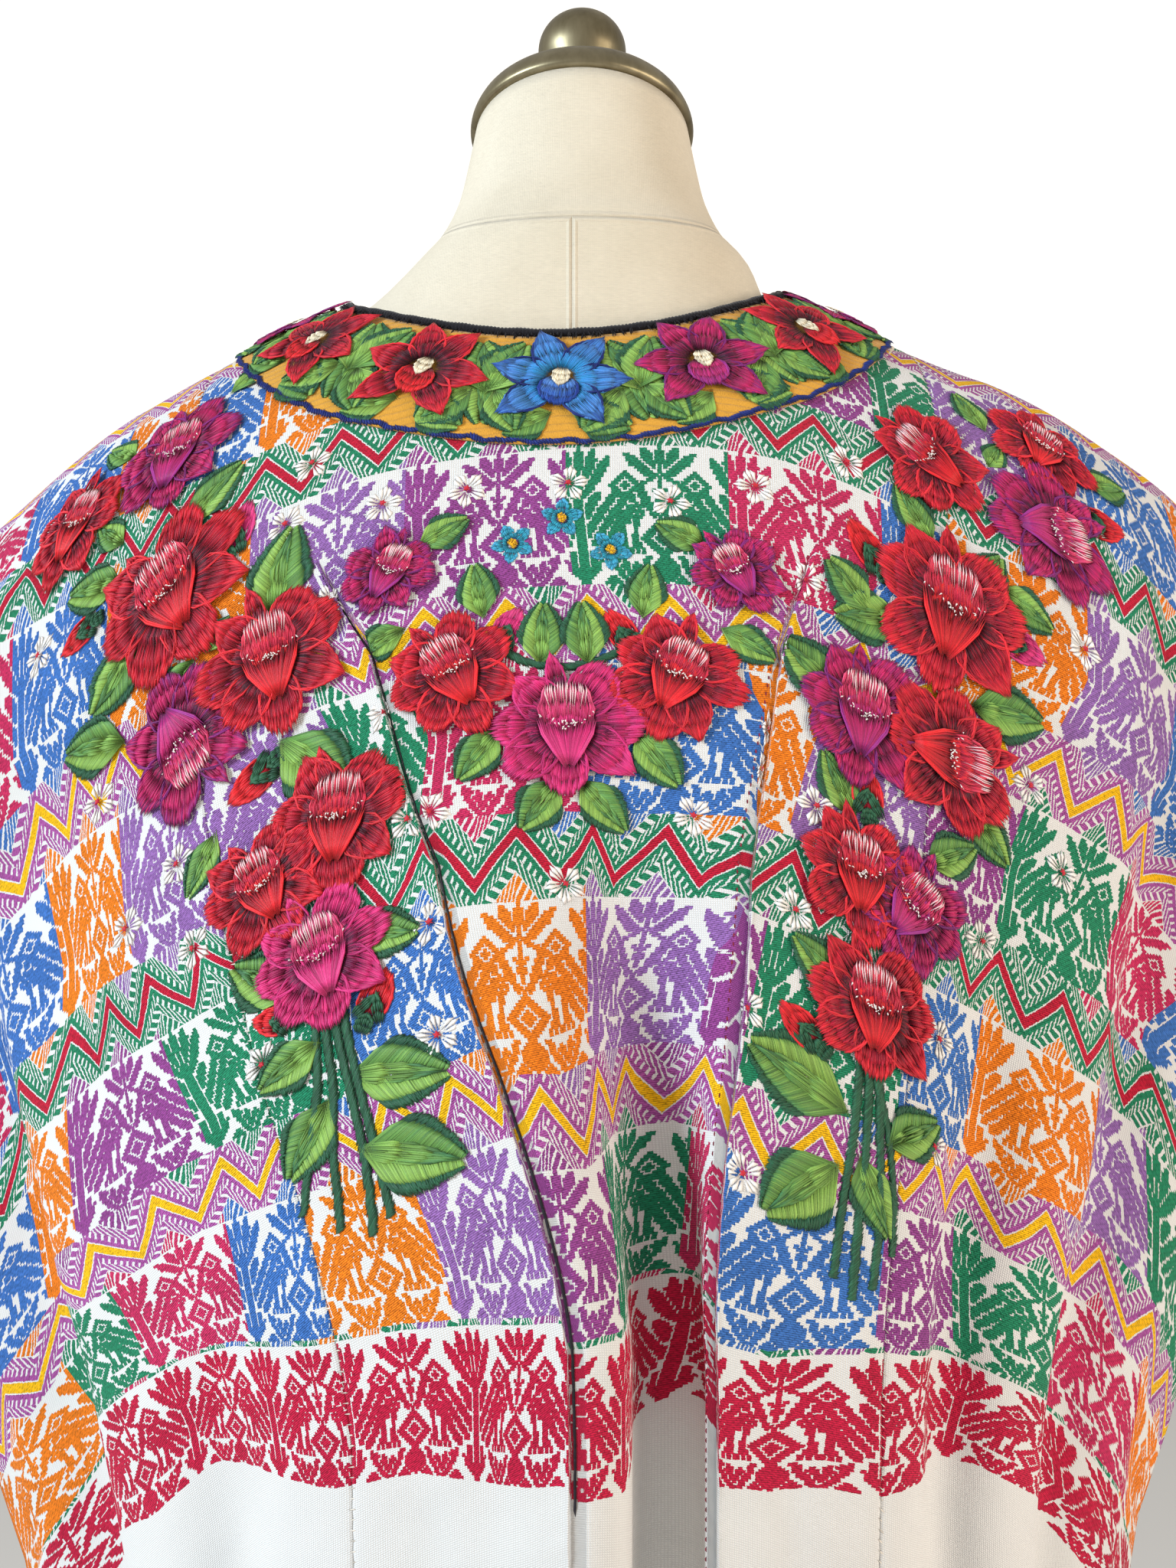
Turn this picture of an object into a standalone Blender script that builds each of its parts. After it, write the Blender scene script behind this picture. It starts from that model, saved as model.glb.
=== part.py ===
"""A huipil poncho of three brocaded lienzos, resting on a limbless dress form.

Metres, +Z up, standing on the floor at z = 0. The back of the garment faces -Y.
The cloth is worked out in its own flat coordinates: u runs across the cloth from the
middle, and v runs along the warp from the shoulder fold, plus down the back and minus
down the front. The function draped() says where each flat point hangs in space.
"""

import math
from collections import namedtuple

import bmesh
import bpy
import numpy as np
from mathutils import Matrix, Vector

COLLECTION_NAME = "huipil_poncho_on_dress_form"
GAP = 0.0003  # between neighbouring pieces

# The cut of the cloth
CLOTH_THICK = 0.0016
SEAM_U = 0.190  # half of the middle lienzo
EDGE_U = 0.460  # half of the three lienzos together
HEM_V = 0.790  # from the shoulder fold to the hem
NECK_HALF = 0.120  # half width of the neck hole
NECK_BACK = 0.107
NECK_FRONT = 0.140
YOKE_SIDE = 0.060  # width of the yoke over the shoulder
YOKE_DEEP = 0.068  # width of the yoke at the middle of the back and of the front
YOKE_THICK = 0.0014
BINDING_RADIUS = 0.0026
ARMHOLE_V = 0.250  # the side seam starts here

# How the cloth hangs
CREST_Z = 1.458  # the shoulder fold, taken over the neck hole
GARMENT_X = -0.010  # the garment sits this far off the middle of the form
STEP = 0.0025  # spacing of the worked-out surface
Crest = namedtuple("Crest", "out left_deg right_deg")  # the shoulder fold's slope
CRESTS = (
    Crest(0.000, 0.0, 0.0),
    Crest(0.060, 7.0, 7.0),
    Crest(0.120, 20.0, 22.0),
    Crest(0.155, 25.0, 27.0),
    Crest(0.205, 31.0, 25.0),
    Crest(0.245, 38.0, 31.0),
    Crest(0.285, 44.0, 41.0),
    Crest(0.345, 47.0, 47.0),
    Crest(0.390, 57.0, 58.0),
    Crest(0.470, 68.0, 70.0),
)
WRAP_DEG = 75.0  # how far the cloth has turned round at its side edge
WRAP_POWER = 2.0

Level = namedtuple("Level", "v back_y front_y edge_x armhole_y middle_x")
LEVELS = (
    Level(0.00, 0.150, 0.150, 0.374, 0.024, 0.000),
    Level(0.12, 0.150, 0.152, 0.372, 0.034, 0.000),
    Level(0.20, 0.154, 0.156, 0.364, 0.022, 0.000),
    Level(0.25, 0.158, 0.160, 0.358, GAP / 2, 0.000),
    Level(0.35, 0.178, 0.164, 0.340, GAP / 2, 0.004),
    Level(0.43, 0.188, 0.168, 0.318, GAP / 2, 0.012),
    Level(0.48, 0.192, 0.171, 0.302, GAP / 2, 0.018),
    Level(0.60, 0.198, 0.177, 0.284, GAP / 2, 0.027),
    Level(0.79, 0.204, 0.184, 0.272, GAP / 2, 0.027),
)

Fold = namedtuple("Fold", "u_top u_low v_start v_full half_width degrees")
BACK_FOLDS = (
    Fold(0.034, 0.022, 0.30, 0.60, 0.031, 86),
    Fold(-0.255, -0.260, 0.46, 0.70, 0.017, 50),
    Fold(-0.372, -0.372, 0.14, 0.42, 0.022, 78),
    Fold(0.236, 0.242, 0.28, 0.55, 0.017, 62),
    Fold(0.338, 0.345, 0.12, 0.40, 0.020, 64),
    Fold(-0.150, -0.150, 0.55, 0.76, 0.020, 24),
)
FRONT_FOLDS = (
    Fold(-0.055, -0.045, 0.30, 0.60, 0.030, 60),
    Fold(0.120, 0.125, 0.34, 0.64, 0.024, 55),
    Fold(-0.250, -0.255, 0.28, 0.58, 0.019, 50),
    Fold(0.268, 0.275, 0.26, 0.58, 0.020, 52),
    Fold(-0.392, -0.395, 0.18, 0.46, 0.017, 48),
    Fold(0.394, 0.398, 0.20, 0.50, 0.017, 46),
    Fold(0.030, 0.035, 0.55, 0.75, 0.020, -24),
)

# Two long tucks stitched down the back, each a lip that laps over towards the middle
Tuck = namedtuple("Tuck", "v left_u left_taken right_u right_taken")
TUCKS = (
    Tuck(0.205, -0.119, 0.000, 0.122, 0.000),
    Tuck(0.270, -0.103, 0.018, 0.113, 0.014),
    Tuck(0.380, -0.095, 0.038, 0.111, 0.036),
    Tuck(0.500, -0.098, 0.046, 0.110, 0.046),
    Tuck(0.640, -0.096, 0.048, 0.112, 0.050),
    Tuck(0.790, -0.096, 0.048, 0.112, 0.050),
)
TUCKED_SHOWS = 0.06  # share of the cloth folded away in a tuck that still shows
TUCK_LIP = 0.0024
TUCK_REACH = 0.014  # how far the lip slopes away behind its edge
TUCK_FACE = 0.0012  # half of the steep face of the lip
TUCK_START = 0.03  # length over which a lip rises

# The dress form
Ring = namedtuple("Ring", "z half_width back front middle_y tilt")
NECK_RINGS = (
    Ring(1.536, 0.0590, 0.0590, 0.0590, 0.020, 21.0),
    Ring(1.512, 0.0635, 0.0630, 0.0600, 0.016, 17.0),
    Ring(1.490, 0.0690, 0.0675, 0.0620, 0.012, 13.0),
    Ring(1.470, 0.0790, 0.0735, 0.0680, 0.007, 9.0),
    Ring(1.456, 0.0920, 0.0800, 0.0790, 0.003, 5.0),
)
BODY_RINGS = (
    Ring(1.330, 0.1930, 0.1200, 0.1160, 0.000, 0.0),
    Ring(1.270, 0.1760, 0.1220, 0.1280, 0.000, 0.0),
    Ring(1.210, 0.1640, 0.1170, 0.1370, 0.000, 0.0),
    Ring(1.140, 0.1500, 0.1060, 0.1230, 0.000, 0.0),
    Ring(1.080, 0.1330, 0.0950, 0.1030, 0.000, 0.0),
    Ring(1.030, 0.1260, 0.0880, 0.0940, 0.000, 0.0),
    Ring(0.970, 0.1380, 0.0920, 0.1000, 0.000, 0.0),
    Ring(0.900, 0.1560, 0.0990, 0.1090, 0.000, 0.0),
    Ring(0.840, 0.1640, 0.1040, 0.1130, 0.000, 0.0),
    Ring(0.790, 0.1620, 0.1020, 0.1100, 0.000, 0.0),
    Ring(0.766, 0.1590, 0.1000, 0.1080, 0.000, 0.0),
)
FORM_SIDES = 40
FORM_SHOULDERS = (-0.12, 0.0, 0.30, 0.62, 0.95)  # shares of the way out from the neck hole
SHOULDER_TIP_U = 0.200
SHOULDER_DEEP_V = 0.175
FORM_CLEAR = 0.0012  # cloth to form over the shoulders, less what the flat faces cut off

CAP_RADIUS = 0.0615
CAP_PROFILE = (  # radius, height over the neck's top
    (0.0, 0.0), (0.0575, 0.0), (0.0612, 0.0012), (0.0620, 0.0040), (0.0612, 0.0085),
    (0.0580, 0.0150), (0.0500, 0.0215), (0.0390, 0.0260), (0.0290, 0.0285),
    (0.0285, 0.0315), (0.0, 0.0315),
)
FINIAL_PROFILE = (
    (0.0, 0.0), (0.0255, 0.0), (0.0272, 0.0018), (0.0272, 0.0064), (0.0256, 0.0084),
    (0.0212, 0.0098), (0.0200, 0.0136), (0.0218, 0.0180), (0.0242, 0.0236),
    (0.0250, 0.0300), (0.0240, 0.0368), (0.0206, 0.0434), (0.0148, 0.0488),
    (0.0076, 0.0520), (0.0, 0.0530),
)
PLATE_HALF = (0.150, 0.096)
PLATE_THICK = 0.006
PLATE_Y = 0.004
POLE_RADIUS = 0.016
BASE_PROFILE = (
    (0.0, 0.0), (0.1600, 0.0), (0.1650, 0.0030), (0.1650, 0.0100), (0.1600, 0.0135),
    (0.1300, 0.0160), (0.0700, 0.0210), (0.0400, 0.0270), (0.0300, 0.0360),
    (0.0290, 0.0450), (0.0, 0.0450),
)
ROUND_STEPS = 32

# How finely each cloth is laid out
BACK_COLUMNS = (
    -0.190, -0.172, -0.154, -0.1398, -0.1372, -0.122, -0.104, -0.086, -0.068, -0.051,
    -0.035, -0.021, -0.008, 0.005, 0.018, 0.032, 0.046, 0.062, 0.080, 0.098, 0.1147,
    0.1173, 0.135, 0.154, 0.172, 0.190,
)
LEFT_TUCK_COLUMN = 3  # the lip's steep face lies between this column and the next
RIGHT_TUCK_COLUMN = 20
FRONT_COLUMNS = 20
SHOULDER_ROWS = (0.012, 0.030, 0.056, 0.090, 0.130, 0.170)
BOX_BACK_V = 0.205
BOX_FRONT_V = 0.235
BACK_ROWS = (0.235, 0.268, 0.302, 0.338, 0.376, 0.416, 0.458, 0.502, 0.548, 0.596,
             0.644, 0.692, 0.742, HEM_V)
FRONT_ROWS = (0.270, 0.308, 0.350, 0.396, 0.444, 0.494, 0.546, 0.598, 0.646, 0.694,
              0.742, HEM_V)
SIDE_COLUMNS = (0.190, 0.208, 0.225, 0.241, 0.256, 0.272, 0.290, 0.309, 0.328, 0.345,
                0.360, 0.375, 0.391, 0.408, 0.426, 0.443, EDGE_U)
YOKE_RINGS = 4
OUTER_RINGS = 2

LINEN = (0.80, 0.74, 0.62)
WHITE_CLOTH = (0.86, 0.83, 0.78)
YOKE_GOLD = (0.74, 0.38, 0.04)
BLACK_THREAD = (0.012, 0.010, 0.012)
OLD_BRASS = (0.20, 0.17, 0.08)
DARK_IRON = (0.05, 0.05, 0.05)


def smooth(t):
    t = np.clip(t, 0.0, 1.0)
    return t * t * (3.0 - 2.0 * t)


def column(rows, name):
    return [getattr(row, name) for row in rows]


def running(values, step, axis):
    """The running integral of values along an axis, from zero."""
    middle = (np.take(values, range(1, values.shape[axis]), axis)
              + np.take(values, range(0, values.shape[axis] - 1), axis)) / 2
    total = np.cumsum(middle, axis) * step
    first = np.zeros_like(np.take(total, [0], axis))
    return np.concatenate([first, total], axis)


def crest(u):
    """The shoulder fold: how far out and how low it is, for u from the middle outwards."""
    off = u + GARMENT_X
    left, right = (np.interp(np.abs(off), column(CRESTS, "out"), column(CRESTS, side))
                   for side in ("left_deg", "right_deg"))
    slope = np.radians(np.where(off < 0, left, right))
    middle = np.argmin(np.abs(off))
    out = running(np.cos(slope), STEP, 0)
    height = running(-np.sin(slope) * np.sign(off), STEP, 0)
    return out - out[middle], CREST_Z + height - height[middle], np.cos(slope)


def tuck_lines(v):
    """At each v, where the cloth folded away in the left tuck starts and ends, and then
    in the right tuck."""
    left, left_taken, right, right_taken = (
        np.interp(v, column(TUCKS, "v"), column(TUCKS, name)) for name in Tuck._fields[1:])
    return left, left + left_taken, right - right_taken, right


def showing(u, v):
    """1 where the cloth shows, and next to nothing where a tuck has folded it away."""
    lines = tuck_lines(v)
    hidden = np.zeros((len(u), len(v)))
    for low, high in (lines[:2], lines[2:]):
        over = np.minimum(u[:, None] - low, high - u[:, None]) / STEP + 0.5
        hidden = np.maximum(hidden, np.clip(over, 0.0, 1.0) * (high - low > STEP))
    return 1.0 - (1.0 - TUCKED_SHOWS) * hidden


def hanging(u, v, folds, depth, way):
    """The plan of the hanging cloth at each v: x and y for every u. way is -1 behind."""
    off = u + GARMENT_X
    turned = np.radians(WRAP_DEG) * np.sign(off) * (np.abs(off) / EDGE_U) ** WRAP_POWER
    angle = np.repeat(turned[:, None], len(v), 1)
    for fold in folds:
        grown = smooth((v - fold.v_start) / (fold.v_full - fold.v_start))
        middle = fold.u_top + (fold.u_low - fold.u_top) * grown
        t = (u[:, None] - middle) / fold.half_width
        angle -= np.radians(fold.degrees) * grown * t * np.exp((1 - t * t) / 2)
    across = crest(u)[2][:, None] * (showing(u, v) if way < 0 else 1.0)
    middle = np.argmin(np.abs(off))
    x = running(across * np.cos(angle), STEP, 0)
    y = running(across * np.sin(angle), STEP, 0)
    x += np.interp(v, column(LEVELS, "v"), column(LEVELS, "middle_x")) - x[middle]
    y = depth - (y - y[middle])
    edge_x = np.interp(v, column(LEVELS, "v"), column(LEVELS, "edge_x"))
    edge_y = np.interp(v, column(LEVELS, "v"), column(LEVELS, "armhole_y"))
    share = (np.abs(u) / EDGE_U)[:, None] ** 2
    right = (u > 0)[:, None]
    x += share * np.where(right, edge_x - x[-1], -edge_x - x[0])
    y += share * np.where(right, edge_y - y[-1], edge_y - y[0])
    return x, way * y


def half_cloth(folds, level_name, way):
    """One side of the cloth, from the shoulder fold to its hem, as a grid of points."""
    u = np.linspace(-EDGE_U, EDGE_U, 2 * round(EDGE_U / STEP) + 1)
    v = np.linspace(0.0, HEM_V, round(HEM_V / STEP) + 1)
    crest_x, crest_z, _ = crest(u)
    depth = np.interp(v, column(LEVELS, "v"), column(LEVELS, level_name))
    x, y = hanging(u, v, folds, depth, way)
    settled = np.searchsorted(v, ARMHOLE_V)
    run = np.hypot(x[:, settled] - crest_x, y[:, settled])
    reach = np.tanh(v / np.maximum(run, 0.020)[:, None])
    x = crest_x[:, None] + reach * (x - crest_x[:, None])
    y = reach * y
    flat = np.hypot(np.gradient(x, STEP, axis=1), np.gradient(y, STEP, axis=1))
    fall = np.sqrt(np.clip(1.0 - flat ** 2, 0.0, 1.0))
    z = crest_z[:, None] - running(fall, STEP, 1)
    return np.stack([x, y, z], 2)


def whole_cloth():
    """Points and outward normals of the draped cloth for every u and v."""
    back = half_cloth(BACK_FOLDS, "back_y", -1.0)
    front = half_cloth(FRONT_FOLDS, "front_y", 1.0)
    points = np.concatenate([front[:, :0:-1], back], 1)
    along_u = np.gradient(points, axis=0)
    along_v = np.gradient(points, axis=1)
    normals = np.cross(along_v, along_u)
    normals /= np.linalg.norm(normals, axis=2, keepdims=True)
    return points, normals


POINTS, NORMALS = whole_cloth()


def draped(u, v, lift=0.0):
    """The place in space of the cloth's flat point (u, v), lifted along its normal."""
    across = np.clip((u + EDGE_U) / STEP, 0, POINTS.shape[0] - 1.000001)
    along = np.clip((v + HEM_V) / STEP, 0, POINTS.shape[1] - 1.000001)
    i, j = int(across), int(along)
    s, t = across - i, along - j
    place, normal = (
        (1 - s) * (1 - t) * grid[i, j] + s * (1 - t) * grid[i + 1, j]
        + (1 - s) * t * grid[i, j + 1] + s * t * grid[i + 1, j + 1]
        for grid in (POINTS, NORMALS)
    )
    return place + normal / np.linalg.norm(normal) * lift


def tuck_lip(u, v):
    """How far the stitched lips stand up from the cloth at (u, v)."""
    if v < TUCKS[0].v:
        return 0.0
    grown = float(smooth((v - TUCKS[0].v) / TUCK_START))
    left, _, _, right = tuck_lines(v)
    rise = 0.0
    for past in (u - left, right - u):
        if past < TUCK_FACE:
            rise += math.exp(min(0.0, past + TUCK_FACE) / TUCK_REACH) * grown
    return TUCK_LIP * rise


def in_collection(obj, material):
    collection = bpy.data.collections.get(COLLECTION_NAME)
    if collection is None:
        collection = bpy.data.collections.new(COLLECTION_NAME)
        bpy.context.scene.collection.children.link(collection)
    for other in list(obj.users_collection):
        other.objects.unlink(obj)
    collection.objects.link(obj)
    obj.data.materials.clear()
    obj.data.materials.append(material)
    return obj


def finish(name, colour, roughness, metallic=0.0):
    material = bpy.data.materials.new(name)
    material.use_nodes = True
    shader = material.node_tree.nodes["Principled BSDF"]
    shader.inputs["Base Color"].default_value = (*colour, 1.0)
    shader.inputs["Roughness"].default_value = roughness
    shader.inputs["Metallic"].default_value = metallic
    return material


def flat_area(corners):
    """The signed area of a face on the flat cloth."""
    return sum(a[0] * b[1] - b[0] * a[1]
               for a, b in zip(corners, corners[1:] + corners[:1])) / 2


def wall(name, material, flat_points, faces, inner, outer):
    """A closed wall over a net of flat points: inner and outer are its two lifts."""
    mesh = bmesh.new()
    skins = []
    for lift in (outer, inner):
        skins.append([
            mesh.verts.new(draped(u, v, lift + (tuck_lip(u, v) if lift > 0 else 0.0)))
            for u, v in flat_points
        ])
    for a, b, c, d in faces:
        if flat_area([flat_points[k] for k in (a, b, c, d)]) > 0:
            b, d = d, b  # outward is clockwise on the flat cloth
        for half in ((a, b, c), (a, c, d)):
            mesh.faces.new([skins[0][k] for k in half])
            mesh.faces.new([skins[1][k] for k in reversed(half)])
    twin = dict(zip(skins[0], skins[1]))
    for edge in [e for e in mesh.edges if e.is_boundary and e.verts[0] in twin]:
        first, second = edge.verts
        loop = edge.link_loops[0]
        if loop.vert is not first:
            first, second = second, first
        mesh.faces.new([second, first, twin[first], twin[second]])
    data = bpy.data.meshes.new(name)
    mesh.to_mesh(data)
    mesh.free()
    data.shade_smooth()
    return in_collection(bpy.data.objects.new(name, data), material)


def neck_point(angle, out):
    """The flat point at an angle round the neck hole, out from 0 at its edge to 1
    at the yoke's outer edge. The angle is 0 at the right shoulder, 90 behind."""
    side = NECK_HALF + out * YOKE_SIDE
    deep = (NECK_BACK if math.sin(angle) > 0 else NECK_FRONT) + out * YOKE_DEEP
    return side * math.cos(angle), deep * math.sin(angle)


def slanted(column_index, v):
    """A column of the middle lienzo's back: it leans so as to follow both tucks."""
    keys = (0, LEFT_TUCK_COLUMN + 0.5, RIGHT_TUCK_COLUMN + 0.5, len(BACK_COLUMNS) - 1)
    start = [
        np.interp(k, range(len(BACK_COLUMNS)), BACK_COLUMNS) for k in keys
    ]
    left, left_end, right_start, right = tuck_lines(v)
    lines = {LEFT_TUCK_COLUMN: left - TUCK_FACE,
             LEFT_TUCK_COLUMN + 1: left_end + TUCK_FACE,
             RIGHT_TUCK_COLUMN: right_start - TUCK_FACE,
             RIGHT_TUCK_COLUMN + 1: right + TUCK_FACE}
    if column_index in lines:
        return float(lines[column_index])
    placed = BACK_COLUMNS[column_index]
    between = keys[1] < column_index < keys[2]
    tucks = (left_end, right_start) if between else (left, right)
    shifts = (0.0, tucks[0] - start[1], tucks[1] - start[2], 0.0)
    return placed + float(np.interp(placed, start, shifts))


def seam_rows():
    """The rows where the middle lienzo meets its neighbours, from front hem to back."""
    front = [-v for v in reversed(FRONT_ROWS)] + [-BOX_FRONT_V]
    shoulder = [-v for v in reversed(SHOULDER_ROWS)] + [0.0] + list(SHOULDER_ROWS)
    return front + shoulder + [BOX_BACK_V] + list(BACK_ROWS)


def box_edge():
    """The flat points round the box that holds the neck hole, from the right shoulder
    over the back, the left shoulder and the front."""
    edge = SEAM_U - GAP / 2
    back = [min(max(slanted(k, BOX_BACK_V), -edge), edge)
            for k in reversed(range(len(BACK_COLUMNS)))]
    front = np.linspace(-edge, edge, FRONT_COLUMNS + 1)
    rows = list(SHOULDER_ROWS)
    points = [(edge, 0.0)] + [(edge, v) for v in rows]
    points += [(u, BOX_BACK_V) for u in back]
    points += [(-edge, v) for v in reversed(rows)] + [(-edge, 0.0)]
    points += [(-edge, -v) for v in rows]
    points += [(float(u), -BOX_FRONT_V) for u in front]
    points += [(edge, -v) for v in reversed(rows)]
    return points


def spoke_angle(point):
    u, v = point
    return math.atan2(v / (NECK_BACK if v > 0 else NECK_FRONT), u / NECK_HALF)


def middle_lienzo(material):
    """A ring of spokes from the neck hole out to a box, and a block below each end."""
    edge_points = box_edge()
    points, faces, index = [], [], {}

    def number(key, point):
        if key not in index:
            index[key] = len(points)
            points.append(point)
        return index[key]

    rings = YOKE_RINGS + OUTER_RINGS
    for k, target in enumerate(edge_points):
        angle = spoke_angle(target)
        for ring in range(YOKE_RINGS + 1):
            number(("ring", k, ring), neck_point(angle, ring / YOKE_RINGS))
        start = neck_point(angle, 1.0)
        for ring in range(1, OUTER_RINGS + 1):
            share = ring / OUTER_RINGS
            point = tuple(a + (b - a) * share for a, b in zip(start, target))
            number(("ring", k, YOKE_RINGS + ring), point)
    count = len(edge_points)
    for k in range(count):
        after = (k + 1) % count
        for ring in range(rings):
            faces.append([index["ring", k, ring], index["ring", k, ring + 1],
                          index["ring", after, ring + 1], index["ring", after, ring]])
    edge = SEAM_U - GAP / 2
    first_back = 1 + len(SHOULDER_ROWS)
    last_back = first_back + len(BACK_COLUMNS) - 1
    first_front = last_back + 2 * len(SHOULDER_ROWS) + 2
    above = [index["ring", k, rings] for k in range(first_back, last_back + 1)]
    for v in BACK_ROWS:
        row = []
        for k in reversed(range(len(BACK_COLUMNS))):
            u = min(max(slanted(k, v), -edge), edge)
            row.append(number(("back", k, v), (u, v)))
        faces += [[above[i], row[i], row[i + 1], above[i + 1]]
                  for i in range(len(row) - 1)]
        above = row
    above = [index["ring", k, rings]
             for k in range(first_front, first_front + FRONT_COLUMNS + 1)]
    for v in FRONT_ROWS:
        row = [number(("front", k, v), (float(u), -v))
               for k, u in enumerate(np.linspace(-edge, edge, FRONT_COLUMNS + 1))]
        faces += [[above[i], row[i], row[i + 1], above[i + 1]]
                  for i in range(len(row) - 1)]
        above = row
    half = CLOTH_THICK / 2
    return wall("lienzo_middle", material, points, faces, -half, half)


def side_lienzo(name, way, material):
    rows = seam_rows()
    columns = [way * u for u in SIDE_COLUMNS]
    columns[0] = way * (SEAM_U + GAP / 2)
    points = [(u, v) for v in rows for u in columns]
    wide = len(columns)
    faces = []
    for j in range(len(rows) - 1):
        for i in range(wide - 1):
            a = j * wide + i
            face = [a, a + wide, a + wide + 1, a + 1]
            faces.append(face if way > 0 else face[::-1])
    half = CLOTH_THICK / 2
    return wall(name, material, points, faces, -half, half)


def neck_yoke(material):
    """The embroidered band round the neck, on the middle lienzo's own points."""
    angles = [spoke_angle(point) for point in box_edge()]
    wide = YOKE_RINGS + 1
    points = [neck_point(a, ring / YOKE_RINGS) for a in angles for ring in range(wide)]
    faces = []
    for k in range(len(angles)):
        after = (k + 1) % len(angles)
        for ring in range(YOKE_RINGS):
            faces.append([k * wide + ring, k * wide + ring + 1,
                          after * wide + ring + 1, after * wide + ring])
    low = CLOTH_THICK / 2 + GAP
    return wall("neck_yoke", material, points, faces, low, low + YOKE_THICK)


def neck_binding(material):
    """The black cord of stitches that closes the raw edge of the neck hole."""
    curve = bpy.data.curves.new("neck_binding", "CURVE")
    curve.dimensions = "3D"
    curve.bevel_depth = BINDING_RADIUS
    curve.bevel_resolution = 2
    angles = [spoke_angle(point) for point in box_edge()]
    spline = curve.splines.new("POLY")
    spline.use_cyclic_u = True
    spline.points.add(len(angles) - 1)
    inward = -(BINDING_RADIUS + GAP) / YOKE_SIDE
    for knot, angle in zip(spline.points, angles):
        place = draped(*neck_point(angle, inward), CLOTH_THICK / 2 + YOKE_THICK)
        knot.co = (*place, 1.0)
    made = bpy.data.objects.new("neck_binding_curve", curve)
    bpy.context.scene.collection.objects.link(made)
    graph = bpy.context.evaluated_depsgraph_get()
    data = bpy.data.meshes.new_from_object(made.evaluated_get(graph))
    data.name = "neck_binding"
    bpy.data.objects.remove(made)
    return in_collection(bpy.data.objects.new("neck_binding", data), material)


def body_ring(ring):
    """A level ring of the form, tilted about its own middle where the neck leans."""
    tilt = Matrix.Rotation(math.radians(ring.tilt), 3, "X")
    middle = Vector((0.0, ring.middle_y, ring.z))
    points = []
    for k in range(FORM_SIDES):
        angle = 2 * math.pi * k / FORM_SIDES
        depth = ring.back if math.sin(angle) > 0 else ring.front
        flat = Vector((ring.half_width * math.cos(angle), -depth * math.sin(angle), 0))
        points.append(middle + tilt.inverted() @ flat)
    return points


def shoulder_ring(share):
    """A ring of the form right under the cloth, some share of the way to the tips."""
    points = []
    for k in range(FORM_SIDES):
        angle = 2 * math.pi * k / FORM_SIDES
        behind = math.sin(angle) > 0
        side = NECK_HALF + share * (SHOULDER_TIP_U - NECK_HALF)
        start = NECK_BACK if behind else NECK_FRONT
        deep = start + share * (SHOULDER_DEEP_V - start + (0.0 if behind else 0.02))
        place = draped(side * math.cos(angle), deep * math.sin(angle),
                       -CLOTH_THICK / 2 - FORM_CLEAR)
        points.append(Vector(place))
    return points


def dress_form(material):
    mesh = bmesh.new()
    rings = [body_ring(ring) for ring in NECK_RINGS]
    rings += [shoulder_ring(share) for share in FORM_SHOULDERS]
    rings += [body_ring(ring) for ring in BODY_RINGS]
    loops = [[mesh.verts.new(p) for p in ring] for ring in rings]
    for upper, lower in zip(loops, loops[1:]):
        for k in range(FORM_SIDES):
            after = (k + 1) % FORM_SIDES
            mesh.faces.new([upper[k], lower[k], lower[after], upper[after]])
    mesh.faces.new(loops[0])
    mesh.faces.new(loops[-1][::-1])
    bmesh.ops.recalc_face_normals(mesh, faces=mesh.faces)
    data = bpy.data.meshes.new("form_torso")
    mesh.to_mesh(data)
    mesh.free()
    data.shade_smooth()
    data.set_sharp_from_angle(angle=math.radians(50))
    return in_collection(bpy.data.objects.new("form_torso", data), material)


def turned(name, profile, material, place, tilt_deg=0.0):
    """A solid turned from a profile of radii and heights, read top to bottom."""
    data = bpy.data.meshes.new(name)
    points = [(radius, 0.0, height) for radius, height in reversed(profile)]
    edges = [(k, k + 1) for k in range(len(points) - 1)]
    data.from_pydata(points, edges, [])
    obj = in_collection(bpy.data.objects.new(name, data), material)
    screw = obj.modifiers.new("turn", "SCREW")
    screw.steps = screw.render_steps = ROUND_STEPS
    screw.use_merge_vertices = True
    screw.merge_threshold = 0.0001
    obj.location = place
    obj.rotation_euler = (-math.radians(tilt_deg), 0.0, 0.0)
    return obj


def stand(iron):
    plate_z = BODY_RINGS[-1].z - GAP - PLATE_THICK
    bpy.ops.mesh.primitive_cylinder_add(
        vertices=ROUND_STEPS, radius=1.0, depth=1.0,
        location=(0.0, PLATE_Y, plate_z + PLATE_THICK / 2))
    plate = bpy.context.object
    plate.name = "form_bottom_plate"
    plate.scale = (*PLATE_HALF, PLATE_THICK)
    bpy.ops.object.transform_apply(location=False, rotation=False, scale=True)
    in_collection(plate, iron)
    foot = BASE_PROFILE[-1][1] + GAP
    head = plate_z - GAP
    bpy.ops.mesh.primitive_cylinder_add(
        vertices=ROUND_STEPS, radius=POLE_RADIUS, depth=head - foot,
        location=(0.0, 0.0, (head + foot) / 2))
    pole = bpy.context.object
    pole.name = "stand_pole"
    in_collection(pole, iron)
    turned("stand_base", BASE_PROFILE, iron, (0.0, 0.0, 0.0))


def neck_top(height):
    """A point on the tilted axis of the neck's top, that far over its surface."""
    ring = NECK_RINGS[0]
    lean = math.radians(ring.tilt)
    return (0.0, ring.middle_y + height * math.sin(lean), ring.z + height * math.cos(lean))


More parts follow.
